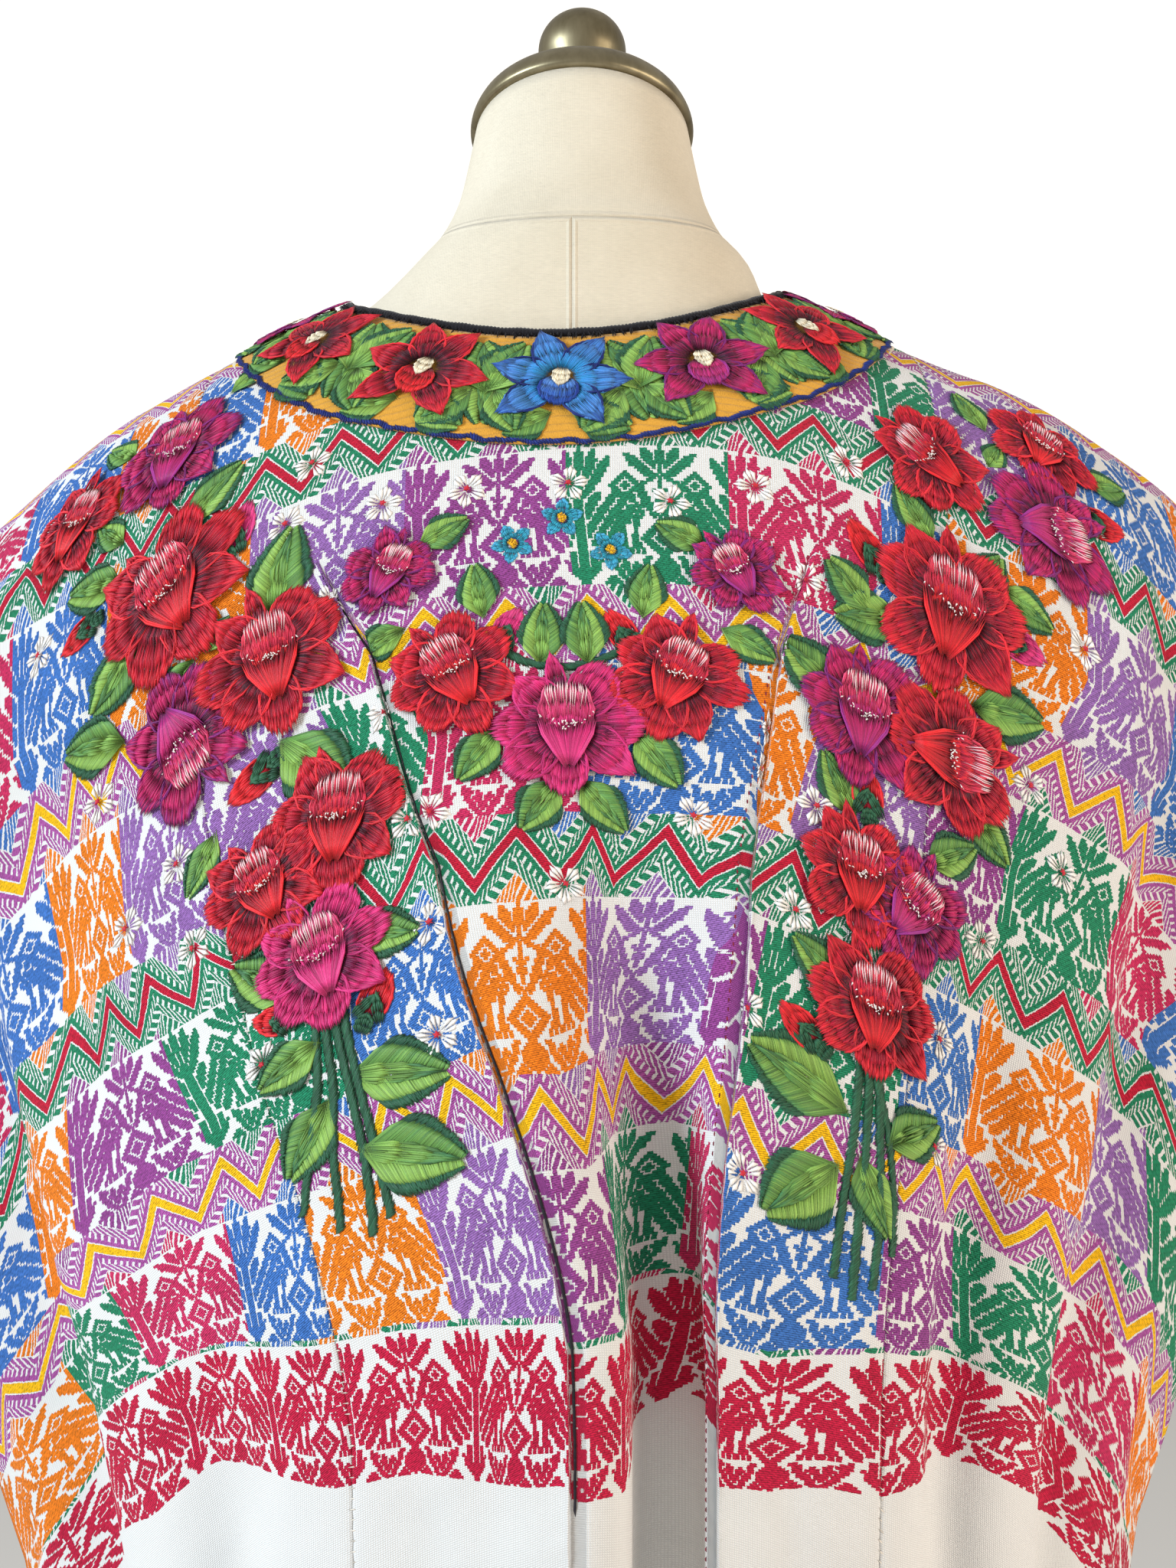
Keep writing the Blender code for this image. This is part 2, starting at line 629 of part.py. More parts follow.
def build():
    for obj in list(bpy.data.objects):
        bpy.data.objects.remove(obj)
    cloth = finish("brocaded_cotton", WHITE_CLOTH, 0.85)
    linen = finish("form_linen", LINEN, 0.90)
    brass = finish("old_brass", OLD_BRASS, 0.35, 0.9)
    iron = finish("dark_iron", DARK_IRON, 0.45, 0.8)
    middle_lienzo(cloth)
    side_lienzo("lienzo_left", -1.0, cloth)
    side_lienzo("lienzo_right", 1.0, cloth)
    neck_yoke(finish("yoke_embroidery", YOKE_GOLD, 0.80))
    neck_binding(finish("black_stitching", BLACK_THREAD, 0.90))
    dress_form(linen)
    tilt = NECK_RINGS[0].tilt
    turned("neck_cap", CAP_PROFILE, brass, neck_top(GAP), tilt)
    top = CAP_PROFILE[-1][1] + 2 * GAP
    turned("neck_finial", FINIAL_PROFILE, brass, neck_top(top), tilt)
    stand(iron)


build()
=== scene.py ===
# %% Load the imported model
import math
from collections import namedtuple

import bmesh
import bpy
import numpy as np
from mathutils import Matrix, Vector


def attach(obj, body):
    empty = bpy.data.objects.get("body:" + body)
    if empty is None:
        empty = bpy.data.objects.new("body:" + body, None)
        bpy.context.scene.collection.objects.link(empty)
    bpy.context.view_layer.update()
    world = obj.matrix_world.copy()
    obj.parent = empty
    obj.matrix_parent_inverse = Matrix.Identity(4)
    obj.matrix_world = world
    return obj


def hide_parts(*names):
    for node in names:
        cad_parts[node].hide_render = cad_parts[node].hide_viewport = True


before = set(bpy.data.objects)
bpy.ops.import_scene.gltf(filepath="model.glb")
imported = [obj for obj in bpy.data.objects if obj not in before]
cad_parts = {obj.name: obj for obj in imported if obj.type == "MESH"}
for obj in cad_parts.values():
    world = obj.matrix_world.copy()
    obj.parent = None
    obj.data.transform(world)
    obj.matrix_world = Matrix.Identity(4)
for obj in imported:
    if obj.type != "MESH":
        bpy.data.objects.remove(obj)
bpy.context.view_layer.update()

# %% [markdown]
# A huipil is worked out flat, so this lesson keeps two sets of coordinates. On the flat
# cloth, u runs across from the middle and v runs along the warp from the shoulder fold,
# plus down the back and minus down the front. The function drape() says where each flat
# point hangs. A simulation could find the folds too, but a worked-out surface puts each
# fold where the real one is, and the same run of numbers also carries the pattern. All
# sizes are in metres.

# %% The cut of the cloth and the hang of its folds
THREAD = 0.0003
CLOTH_THICK = 0.0014
SEAM_U, EDGE_U, HEM_V = 0.190, 0.460, 0.790
NECK_HALF, NECK_BACK, NECK_FRONT = 0.120, 0.107, 0.140
YOKE_SIDE, YOKE_DEEP = 0.060, 0.068
ARMHOLE_V, CREST_Z, GARMENT_X = 0.250, 1.458, -0.010
STEP = 0.0025
WRAP_DEG = 75.0
Crest = namedtuple("Crest", "out left_deg right_deg")
CRESTS = (
    Crest(0.000, 0.0, 0.0), Crest(0.060, 7.0, 7.0), Crest(0.120, 20.0, 22.0),
    Crest(0.155, 25.0, 27.0), Crest(0.205, 31.0, 25.0), Crest(0.245, 38.0, 31.0),
    Crest(0.285, 44.0, 41.0), Crest(0.345, 47.0, 47.0), Crest(0.390, 57.0, 58.0),
    Crest(0.470, 68.0, 70.0),
)
Level = namedtuple("Level", "v back_y front_y edge_x armhole_y middle_x")
LEVELS = (
    Level(0.00, 0.150, 0.150, 0.374, 0.024, 0.000),
    Level(0.12, 0.150, 0.152, 0.372, 0.034, 0.000),
    Level(0.20, 0.154, 0.156, 0.364, 0.022, 0.000),
    Level(0.25, 0.158, 0.160, 0.358, THREAD / 2, 0.000),
    Level(0.35, 0.178, 0.164, 0.340, THREAD / 2, 0.004),
    Level(0.43, 0.188, 0.168, 0.318, THREAD / 2, 0.012),
    Level(0.48, 0.192, 0.171, 0.302, THREAD / 2, 0.018),
    Level(0.60, 0.198, 0.177, 0.284, THREAD / 2, 0.027),
    Level(0.79, 0.204, 0.184, 0.272, THREAD / 2, 0.027),
)
Fold = namedtuple("Fold", "u_top u_low v_start v_full half_width degrees")
BACK_FOLDS = (
    Fold(0.034, 0.022, 0.30, 0.60, 0.031, 86), Fold(-0.255, -0.260, 0.46, 0.70, 0.017, 50),
    Fold(-0.372, -0.372, 0.14, 0.42, 0.022, 78), Fold(0.236, 0.242, 0.28, 0.55, 0.017, 62),
    Fold(0.338, 0.345, 0.12, 0.40, 0.020, 64), Fold(-0.150, -0.150, 0.55, 0.76, 0.020, 24),
)
FRONT_FOLDS = (
    Fold(-0.055, -0.045, 0.30, 0.60, 0.030, 60), Fold(0.120, 0.125, 0.34, 0.64, 0.024, 55),
    Fold(-0.250, -0.255, 0.28, 0.58, 0.019, 50), Fold(0.268, 0.275, 0.26, 0.58, 0.020, 52),
    Fold(-0.392, -0.395, 0.18, 0.46, 0.017, 48), Fold(0.394, 0.398, 0.20, 0.50, 0.017, 46),
    Fold(0.030, 0.035, 0.55, 0.75, 0.020, -24),
)
Tuck = namedtuple("Tuck", "v left_u left_taken right_u right_taken")
TUCKS = (
    Tuck(0.205, -0.119, 0.000, 0.122, 0.000), Tuck(0.270, -0.103, 0.018, 0.113, 0.014),
    Tuck(0.380, -0.095, 0.038, 0.111, 0.036), Tuck(0.500, -0.098, 0.046, 0.110, 0.046),
    Tuck(0.640, -0.096, 0.048, 0.112, 0.050), Tuck(0.790, -0.096, 0.048, 0.112, 0.050),
)
TUCKED_SHOWS = 0.06
LEAST_RUN = 0.020
print("cloth", 2 * EDGE_U, "by", 2 * HEM_V, "with", len(BACK_FOLDS + FRONT_FOLDS), "folds")


# %% Curves through the tables
def smooth(t):
    t = np.clip(t, 0.0, 1.0)
    return t * t * (3.0 - 2.0 * t)


def along(rows, name, v):
    return np.interp(v, [row.v for row in rows], [getattr(row, name) for row in rows])


def running(values, axis):
    """The running integral of values along an axis, from zero."""
    count = values.shape[axis]
    middle = (np.take(values, range(1, count), axis)
              + np.take(values, range(count - 1), axis)) / 2
    total = np.cumsum(middle, axis) * STEP
    return np.concatenate([np.zeros_like(np.take(total, [0], axis)), total], axis)


print("a smooth step is", smooth(0.25), "a quarter of the way")


# %% The shoulder fold and the tucks
def crest(u):
    """The shoulder fold's run outwards, its height, and how level it is."""
    off = u + GARMENT_X
    out = [row.out for row in CRESTS]
    left, right = (np.interp(np.abs(off), out, [getattr(row, side) for row in CRESTS])
                   for side in ("left_deg", "right_deg"))
    slope = np.radians(np.where(off < 0, left, right))
    middle = np.argmin(np.abs(off))
    run = running(np.cos(slope), 0)
    height = running(-np.sin(slope) * np.sign(off), 0)
    return run - run[middle], CREST_Z + height - height[middle], np.cos(slope)


def tuck_lines(v):
    """Start and end of the cloth folded away in the left tuck, then in the right one."""
    left, left_taken, right, right_taken = (along(TUCKS, name, v)
                                            for name in Tuck._fields[1:])
    return left, left + left_taken, right - right_taken, right


def showing(u, v):
    lines = tuck_lines(v)
    hidden = np.zeros((len(u), len(v)))
    for low, high in (lines[:2], lines[2:]):
        over = np.minimum(u[:, None] - low, high - u[:, None]) / STEP + 0.5
        hidden = np.maximum(hidden, np.clip(over, 0.0, 1.0) * (high - low > STEP))
    return 1.0 - (1.0 - TUCKED_SHOWS) * hidden


print("tucks at the hem", [round(float(line), 3) for line in tuck_lines(HEM_V)])

# %% [markdown]
# Front and back are worked out one at a time. At each height the cloth is a line that
# turns one way and back again at every fold, so its length stays true. Going down, what
# a step moves outwards is taken off its drop, so the cloth isn't stretched there either.

# %% Where each flat point hangs
def half_cloth(folds, level_name, way):
    """One side of the cloth as a grid of points, from the shoulder fold to the hem."""
    u = np.linspace(-EDGE_U, EDGE_U, 2 * round(EDGE_U / STEP) + 1)
    v = np.linspace(0.0, HEM_V, round(HEM_V / STEP) + 1)
    crest_x, crest_z, level = crest(u)
    off = u + GARMENT_X
    angle = np.repeat((np.radians(WRAP_DEG) * np.sign(off) * (np.abs(off) / EDGE_U) ** 2)
                      [:, None], len(v), 1)
    for fold in folds:
        grown = smooth((v - fold.v_start) / (fold.v_full - fold.v_start))
        middle = fold.u_top + (fold.u_low - fold.u_top) * grown
        t = (u[:, None] - middle) / fold.half_width
        angle -= np.radians(fold.degrees) * grown * t * np.exp((1 - t * t) / 2)
    across = level[:, None] * (showing(u, v) if way < 0 else 1.0)
    middle = np.argmin(np.abs(off))
    x = running(across * np.cos(angle), 0)
    y = running(across * np.sin(angle), 0)
    x += along(LEVELS, "middle_x", v) - x[middle]
    y = along(LEVELS, level_name, v) - (y - y[middle])
    edge_x, edge_y = along(LEVELS, "edge_x", v), along(LEVELS, "armhole_y", v)
    share, right = (np.abs(u) / EDGE_U)[:, None] ** 2, (u > 0)[:, None]
    x += share * np.where(right, edge_x - x[-1], -edge_x - x[0])
    y = way * (y + share * np.where(right, edge_y - y[-1], edge_y - y[0]))
    settled = np.searchsorted(v, ARMHOLE_V)
    run = np.hypot(x[:, settled] - crest_x, y[:, settled])
    reach = np.tanh(v / np.maximum(run, LEAST_RUN)[:, None])
    x = crest_x[:, None] + reach * (x - crest_x[:, None])
    y = reach * y
    flat = np.hypot(np.gradient(x, STEP, axis=1), np.gradient(y, STEP, axis=1))
    z = crest_z[:, None] - running(np.sqrt(np.clip(1.0 - flat ** 2, 0.0, 1.0)), 1)
    return np.stack([x, y, z], 2)


PLACES = np.concatenate([half_cloth(FRONT_FOLDS, "front_y", 1.0)[:, :0:-1],
                         half_cloth(BACK_FOLDS, "back_y", -1.0)], 1)
NORMALS = np.cross(np.gradient(PLACES, axis=1), np.gradient(PLACES, axis=0))
NORMALS /= np.linalg.norm(NORMALS, axis=2, keepdims=True)


def drape(u, v, lift=0.0):
    """The places in space of flat points, each lifted along the cloth's normal."""
    u, v = np.broadcast_arrays(np.asarray(u, float), np.asarray(v, float))
    over = np.clip((u + EDGE_U) / STEP, 0, PLACES.shape[0] - 1.000001)
    down = np.clip((v + HEM_V) / STEP, 0, PLACES.shape[1] - 1.000001)
    i, j = over.astype(int), down.astype(int)
    s, t = (over - i)[..., None], (down - j)[..., None]
    place, normal = (
        (1 - s) * (1 - t) * grid[i, j] + s * (1 - t) * grid[i + 1, j]
        + (1 - s) * t * grid[i, j + 1] + s * t * grid[i + 1, j + 1]
        for grid in (PLACES, NORMALS))
    normal = normal / np.linalg.norm(normal, axis=-1, keepdims=True)
    return place + normal * np.asarray(lift, float)[..., None]


print("cloth surface", PLACES.shape[:2], "points")

# %% [markdown]
# Handwoven cloth is never quite smooth. Between the big folds it carries soft creases
# where it was kept folded, a raised lip along each stitched tuck, and a shallow groove
# along each seam. They could be sculpted, but a short table of lines is easier to check:
# each crease is a line on the flat cloth with a width and a height.

# %% Small relief on the cloth
Crease = namedtuple("Crease", "u0 v0 u1 v1 width height")
CREASES = (
    Crease(-0.170, 0.180, -0.205, 0.420, 0.012, 0.0022),
    Crease(-0.060, 0.215, -0.020, 0.330, 0.010, -0.0012),
    Crease(0.060, 0.180, 0.052, 0.330, 0.011, 0.0016),
    Crease(0.150, 0.150, 0.158, 0.420, 0.010, -0.0016),
    Crease(0.175, 0.330, 0.182, 0.640, 0.010, 0.0018),
    Crease(-0.150, 0.520, -0.140, 0.770, 0.011, 0.0020),
    Crease(-0.300, 0.080, -0.330, 0.380, 0.014, 0.0028),
    Crease(-0.225, 0.100, -0.235, 0.340, 0.012, -0.0018),
    Crease(0.290, 0.060, 0.300, 0.330, 0.013, 0.0026),
    Crease(0.255, 0.120, 0.262, 0.300, 0.012, -0.0018),
    Crease(0.400, 0.280, 0.405, 0.640, 0.012, 0.0022),
    Crease(-0.415, 0.300, -0.420, 0.680, 0.012, 0.0024),
    Crease(-0.030, 0.560, -0.034, 0.780, 0.010, 0.0018),
    Crease(0.030, 0.340, 0.020, 1.050, 0.019, -0.0080),
    Crease(0.145, 0.560, 0.150, 0.780, 0.010, -0.0014),
    Crease(-0.120, -0.220, -0.135, -0.560, 0.013, 0.0024),
    Crease(0.070, -0.230, 0.078, -0.500, 0.012, 0.0020),
    Crease(-0.020, -0.260, 0.010, -0.480, 0.012, -0.0014),
    Crease(0.190, -0.100, 0.196, -0.420, 0.013, 0.0022),
    Crease(-0.330, -0.090, -0.345, -0.400, 0.014, 0.0028),
    Crease(0.330, -0.090, 0.340, -0.420, 0.014, 0.0028),
    Crease(-0.180, -0.330, -0.185, -0.760, 0.012, 0.0020),
    Crease(0.210, -0.420, 0.215, -0.770, 0.012, 0.0020),
)
CREASE_WANDER, CREASE_ENDS = 0.12, 0.25
TUCK_LIP, TUCK_REACH, TUCK_START, TUCK_UNEVEN = 0.0026, 0.012, 0.03, 0.22
TUCK_PUCKER, PUCKER_REACH, PUCKER_WAVES = 0.00035, 0.010, 540.0
SEAM_DIP, SEAM_WIDTH, SEAM_PUCKER, SEAM_WAVES = 0.0009, 0.0014, 0.00018, 640.0


def relief(u, v):
    """How far the cloth stands off its smooth surface at each flat point."""
    u, v = np.broadcast_arrays(np.asarray(u, float), np.asarray(v, float))
    total = np.zeros(u.shape)
    for row in CREASES:
        du, dv = row.u1 - row.u0, row.v1 - row.v0
        t = ((u - row.u0) * du + (v - row.v0) * dv) / (du * du + dv * dv)
        wander = CREASE_WANDER * row.width * np.sin(9.0 * t + 40.0 * row.u0)
        far = ((u - row.u0) - t * du + wander) / row.width
        ends = smooth(t / CREASE_ENDS) * smooth((1.0 - t) / CREASE_ENDS)
        total += row.height * ends * np.exp(-far * far)
    left, _, _, right = tuck_lines(v)
    grown = smooth((v - TUCKS[0].v) / TUCK_START) * (v > TUCKS[0].v)
    uneven = 1.0 + TUCK_UNEVEN * np.sin(v * 290.0) * np.sin(v * 83.0 + 1.0)
    for past, turn in ((u - left, 0.0), (right - u, 0.7)):
        lip = np.where(past <= 1e-6, np.exp(np.minimum(past, 0.0) / TUCK_REACH), 0.0)
        total += TUCK_LIP * grown * lip * uneven
        pucker = np.exp(-(past / PUCKER_REACH) ** 2) * np.sin(v * PUCKER_WAVES + turn)
        total += TUCK_PUCKER * grown * pucker
    seam = (np.abs(u) - SEAM_U) / SEAM_WIDTH
    total -= SEAM_DIP * np.exp(-seam * seam)
    pucker = np.exp(-(seam / 5) ** 2) * np.sin(v * SEAM_WAVES + 3.0 * np.sign(u))
    return total + SEAM_PUCKER * pucker


print(len(CREASES), "creases placed by hand")

# %% [markdown]
# A shader can do arithmetic, but a long formula drawn as single nodes is hard to read.
# Wire lets a formula be typed with Python's own signs: each sign adds one Math node. The
# brocade needs this, because its birds, trees and zigzags are counted in woven cells.

# %% A short way to write node formulas
class Wire:
    """A number inside a node tree."""

    def __init__(self, tree, socket):
        self.tree, self.socket = tree, socket

    def math(self, operation, *others, clamp=False):
        node = self.tree.nodes.new("ShaderNodeMath")
        node.operation, node.use_clamp = operation, clamp
        for value, socket in zip((self, *others), node.inputs):
            if isinstance(value, Wire):
                self.tree.links.new(value.socket, socket)
            else:
                socket.default_value = value
        return Wire(self.tree, node.outputs[0])

    def __add__(self, other):
        return self.math("ADD", other)

    def __sub__(self, other):
        return self.math("SUBTRACT", other)

    def __mul__(self, other):
        return self.math("MULTIPLY", other)

    def __truediv__(self, other):
        return self.math("DIVIDE", other)

    def __mod__(self, other):
        return self.math("FLOORED_MODULO", other)

    def __lt__(self, other):
        return self.math("LESS_THAN", other)

    def __gt__(self, other):
        return self.math("GREATER_THAN", other)

    def whole(self):
        return self.math("FLOOR")

    def size(self):
        return self.math("ABSOLUTE")

    def flip(self):
        return (self * -1.0) + 1.0

    def clip(self):
        return self.math("ADD", 0.0, clamp=True)

    def wave(self):
        return self.math("SINE")

    def part(self):
        """What a number has past its whole part."""
        return self - self.whole()

    def ridge(self, power):
        """0 half way between two whole numbers, rising to 1 at each of them."""
        return ((self.part() - 0.5).size() * 2.0).math("POWER", power)


print("formula signs ready")

# %% [markdown]
# Every finish here is one Principled shader with a colour and a bump. Both are worked out
# from the place on the cloth, so no image is needed and no thread ever looks blurred.

# %% Colours and the nodes that every finish shares
def linear(code):
    """The linear colour of a six-digit web colour."""
    parts = [int(code[k:k + 2], 16) / 255 for k in (0, 2, 4)]
    return tuple(c / 12.92 if c <= 0.04045 else ((c + 0.055) / 1.055) ** 2.4
                 for c in parts)


def new_material(name, roughness, **inputs):
    """An empty Principled material: the material, its tree and its shader."""
    material = bpy.data.materials.new(name)
    material.use_nodes = True
    tree = material.node_tree
    shader = tree.nodes["Principled BSDF"]
    shader.inputs["Roughness"].default_value = roughness
    for key, value in inputs.items():
        shader.inputs[key.replace("_", " ")].default_value = value
    return material, tree, shader


def blend(tree, factor, first, second, kind="MIX"):
    """A colour between two others: each is a socket, or a linear colour."""
    node = tree.nodes.new("ShaderNodeMix")
    node.data_type, node.blend_type = "RGBA", kind
    sockets = [s for s in node.inputs if s.type == "RGBA"]
    for value, socket in zip((first, second), sockets):
        if isinstance(value, tuple):
            socket.default_value = (*value, 1.0)
        else:
            tree.links.new(value, socket)
    if isinstance(factor, Wire):
        tree.links.new(factor.socket, node.inputs[0])
    else:
        node.inputs[0].default_value = factor
    return [s for s in node.outputs if s.type == "RGBA"][0]


def noise(tree, vector, scale, detail=2.0, roughness=0.5):
    node = tree.nodes.new("ShaderNodeTexNoise")
    node.inputs["Scale"].default_value = scale
    node.inputs["Detail"].default_value = detail
    node.inputs["Roughness"].default_value = roughness
    tree.links.new(vector, node.inputs["Vector"])
    return Wire(tree, node.outputs[0])


def noise_vector(tree, vector, scale):
    """A small random vector about zero that changes from place to place."""
    node = tree.nodes.new("ShaderNodeTexNoise")
    node.inputs["Scale"].default_value = scale
    node.inputs["Detail"].default_value = 1.0
    tree.links.new(vector, node.inputs["Vector"])
    shift = tree.nodes.new("ShaderNodeVectorMath")
    shift.operation = "SUBTRACT"
    tree.links.new(node.outputs["Color"], shift.inputs[0])
    shift.inputs[1].default_value = (0.5, 0.5, 0.5)
    return shift.outputs[0]


def object_place(tree):
    return tree.nodes.new("ShaderNodeTexCoord").outputs["Object"]


def uv_place(tree, name):
    node = tree.nodes.new("ShaderNodeUVMap")
    node.uv_map = name
    return node.outputs[0]


def split(tree, vector):
    node = tree.nodes.new("ShaderNodeSeparateXYZ")
    tree.links.new(vector, node.inputs[0])
    return [Wire(tree, socket) for socket in node.outputs]


def join(tree, *wires):
    node = tree.nodes.new("ShaderNodeCombineXYZ")
    for wire, socket in zip(wires, node.inputs):
        if isinstance(wire, Wire):
            tree.links.new(wire.socket, socket)
        else:
            socket.default_value = wire
    return node.outputs[0]


def shaded(tree, colour, shade):
    """A colour made lighter or darker by a number."""
    return blend(tree, 1.0, colour, join(tree, shade, shade, shade), "MULTIPLY")


def dress(tree, shader, colour, height, distance, strength=1.0):
    """Give a shader its colour, and a bump as high as distance where height is 1."""
    node = tree.nodes.new("ShaderNodeBump")
    node.inputs["Distance"].default_value = distance
    node.inputs["Strength"].default_value = strength
    tree.links.new(height.socket, node.inputs["Height"])
    tree.links.new(node.outputs[0], shader.inputs["Normal"])
    tree.links.new(colour, shader.inputs["Base Color"])


print("white in linear colour", linear("FFFFFF"))

# %% [markdown]
# The figures of the brocade are picked into the cloth by hand, a weft float at a time, so
# every edge goes in steps. Half of one repeat is charted here row by row: a diamond and
# half a pair of birds at the left, half a tree at the right. Both ends are mirrors, as in
# the loom.

# %% The chart of the birds and the tree
CHART = """
#...........................#
#....##................#....#
##..###................##..##
##.####....##..........##..##
##.####..###......#....###.##
##.###..####......##..####.##
#####..####.......###..###.##
#.##..#####.......####.###.##
#.#..####..........###.######
#...####...........####.###.#
#..####.....#.......###.###.#
.#####.....###......####.##.#
#.##......##.##......###.##.#
#..##....##...##.....####.#.#
#....##.##..#..##.....###.#.#
#.....###..###..##.....###.##
#.....####..#..##......###.##
#.#...#####...###.......#####
##...###..#######....##..####
#....###.#########...###..###
##..###..#####..###..####..##
##..###..##.###.###...###..##
#..####.#...###..###..####.##
#..#########.###..###..###.##
#..##..#.###..###.####.###.##
..##..############.###..##.##
.###..#.#.########..###.##.##
#.#....############.####.#.##
#.......##.#####.###.###...##
##......##.#########..###..##
###.....##...####.###..###.##
.###.....#...#####.###.###.##
..###....#...#####..##..##.##
#..###...#...##.###.###..#.##
##..###..##..##.###..###.#.##
###..###.##..##..###..##...##
##..###..##..##...###..##..##
#..###..###..###..####.##..##
..###...###..###...###.....##
.###...#.#.##.#.#...##.....##
###....#.#.##.#.#.......##.##
##.................#....##.##
##...##..........###....##.##
###...##......#.####..#.##.##
####..##..#..##..##....###.##
#####.##.###.###.##....###.##
#####..##.##.##.##.....######
#####..###.###.##.......#####
#####...##.###.##........####
####.#...##.#.##..##......###
###.###..##..##..####......##
#..#####..####..######.....##
""".split()
CHART_WIDE, CHART_TALL = len(CHART[0]), len(CHART)
CHANNEL_CELLS = 10
MOST_STOPS = 26
UNIT_CELLS = 2 * (CHART_WIDE - 1)
FLOAT_OVER, FLOAT_DOWN = 0.30, 0.26
ROUNDING = 0.001
print("chart", CHART_WIDE, "x", CHART_TALL, "cells")

# %% [markdown]
# A shader has no list to look a cell up in. So each row is read as three whole numbers,
# which a stepped Color Ramp can hold, and a column is one binary digit of them.

# %% Reading the chart
def stepped_ramp(tree, factor, colours):
    """A Color Ramp that holds one colour for each whole number."""
    node = tree.nodes.new("ShaderNodeValToRGB")
    ramp = node.color_ramp
    ramp.interpolation = "CONSTANT"
    while len(ramp.elements) < len(colours):
        ramp.elements.new(1.0)
    for k, colour in enumerate(colours):
        ramp.elements[k].position = k / len(colours)
        ramp.elements[k].color = (*colour, 1.0)
    tree.links.new(((factor + 0.5) / len(colours)).socket, node.inputs[0])
    return node.outputs[0]


def chart_row(tree, row):
    """The three numbers of a charted row."""
    numbers = [[int(line[k:k + CHANNEL_CELLS][::-1].replace("#", "1").replace(".", "0"), 2)
                / 2 ** CHANNEL_CELLS for k in range(0, CHART_WIDE, CHANNEL_CELLS)]
               for line in CHART]
    halves = [stepped_ramp(tree, row - start, numbers[start:start + MOST_STOPS])
              for start in range(0, CHART_TALL, MOST_STOPS)]
    node = tree.nodes.new("ShaderNodeSeparateColor")
    tree.links.new(blend(tree, row > MOST_STOPS - 0.5, *halves), node.inputs[0])
    return [Wire(tree, socket) for socket in node.outputs]


def chart_column(tree, x):
    """The folded column under x, as its channel and two to the power of its place."""
    cell = x.whole()
    half = UNIT_CELLS / 2
    column = ((cell + half) % UNIT_CELLS - half).size()
    channel = (column / CHANNEL_CELLS).whole()
    two = Wire(tree, tree.nodes.new("ShaderNodeValue").outputs[0])
    two.socket.default_value = 2.0
    power = two.math("POWER", column - channel * CHANNEL_CELLS)
    return channel, power


def charted(tree, x, y):
    """1 where the chart has yarn. Each float reaches a little over its own cell."""
    columns = [chart_column(tree, x + reach) for reach in (-FLOAT_OVER, FLOAT_OVER)]
    found = None
    for reach in (-FLOAT_DOWN, FLOAT_DOWN):
        row = (y + reach).whole().math("MAXIMUM", 0.0).math("MINIMUM", CHART_TALL - 1.0)
        red, green, blue = chart_row(tree, row)
        for channel, power in columns:
            value = (red * (channel < 0.5) + blue * (channel > 1.5)
                     + green * ((channel - 1.0).size() < 0.5))
            bit = (value * 2.0 ** CHANNEL_CELLS / power + ROUNDING).whole() % 2.0
            found = bit if found is None else found + bit
    return found.clip()


print("a repeat is", UNIT_CELLS, "cells across")

# %% [markdown]
# A loom makes straight rows, but hung cloth is never true: the rows sag and the repeats
# stretch, and each lienzo has its own run of colours. Two tables say where the weave lies
# on the flat cloth. The first gives the place of each band along the warp, for some
# places across.

# %% The bands along the warp
BAND_PLACES = (0.0, 0.0495, 0.1615, 0.2735, 0.3855, 0.4975, 0.5935, 0.6610, 0.800)
Warp = namedtuple("Warp", "u places")
LEFT_WARPS = (
    Warp(-0.460, (0.120, 0.245, 0.335, 0.420, 0.500, 0.550)),
    Warp(-0.360, (0.120, 0.250, 0.345, 0.435, 0.505, 0.555)),
    Warp(-0.300, (0.120, 0.253, 0.362, 0.455, 0.515, 0.572)),
    Warp(-0.265, (0.135, 0.253, 0.365, 0.462, 0.522, 0.570)),
    Warp(-0.235, (0.145, 0.256, 0.371, 0.464, 0.533, 0.588)),
    Warp(-0.200, (0.155, 0.258, 0.374, 0.469, 0.551, 0.612)),
    Warp(-0.160, (0.160, 0.262, 0.377, 0.477, 0.563, 0.624)),
    Warp(-0.125, (0.160, 0.262, 0.379, 0.482, 0.576, 0.643)),
    Warp(-0.095, (0.160, 0.268, 0.380, 0.486, 0.588, 0.655)),
)
MIDDLE_WARPS = (
    Warp(-0.125, (0.160, 0.262, 0.379, 0.500, 0.600, 0.664)),
    Warp(-0.060, (0.160, 0.268, 0.379, 0.503, 0.601, 0.663)),
    Warp(-0.030, (0.159, 0.268, 0.379, 0.503, 0.595, 0.658)),
    Warp(0.000, (0.157, 0.268, 0.378, 0.486, 0.572, 0.630)),
    Warp(0.030, (0.155, 0.267, 0.378, 0.480, 0.566, 0.618)),
    Warp(0.060, (0.153, 0.266, 0.377, 0.480, 0.570, 0.620)),
    Warp(0.125, (0.152, 0.261, 0.374, 0.482, 0.572, 0.622)),
)
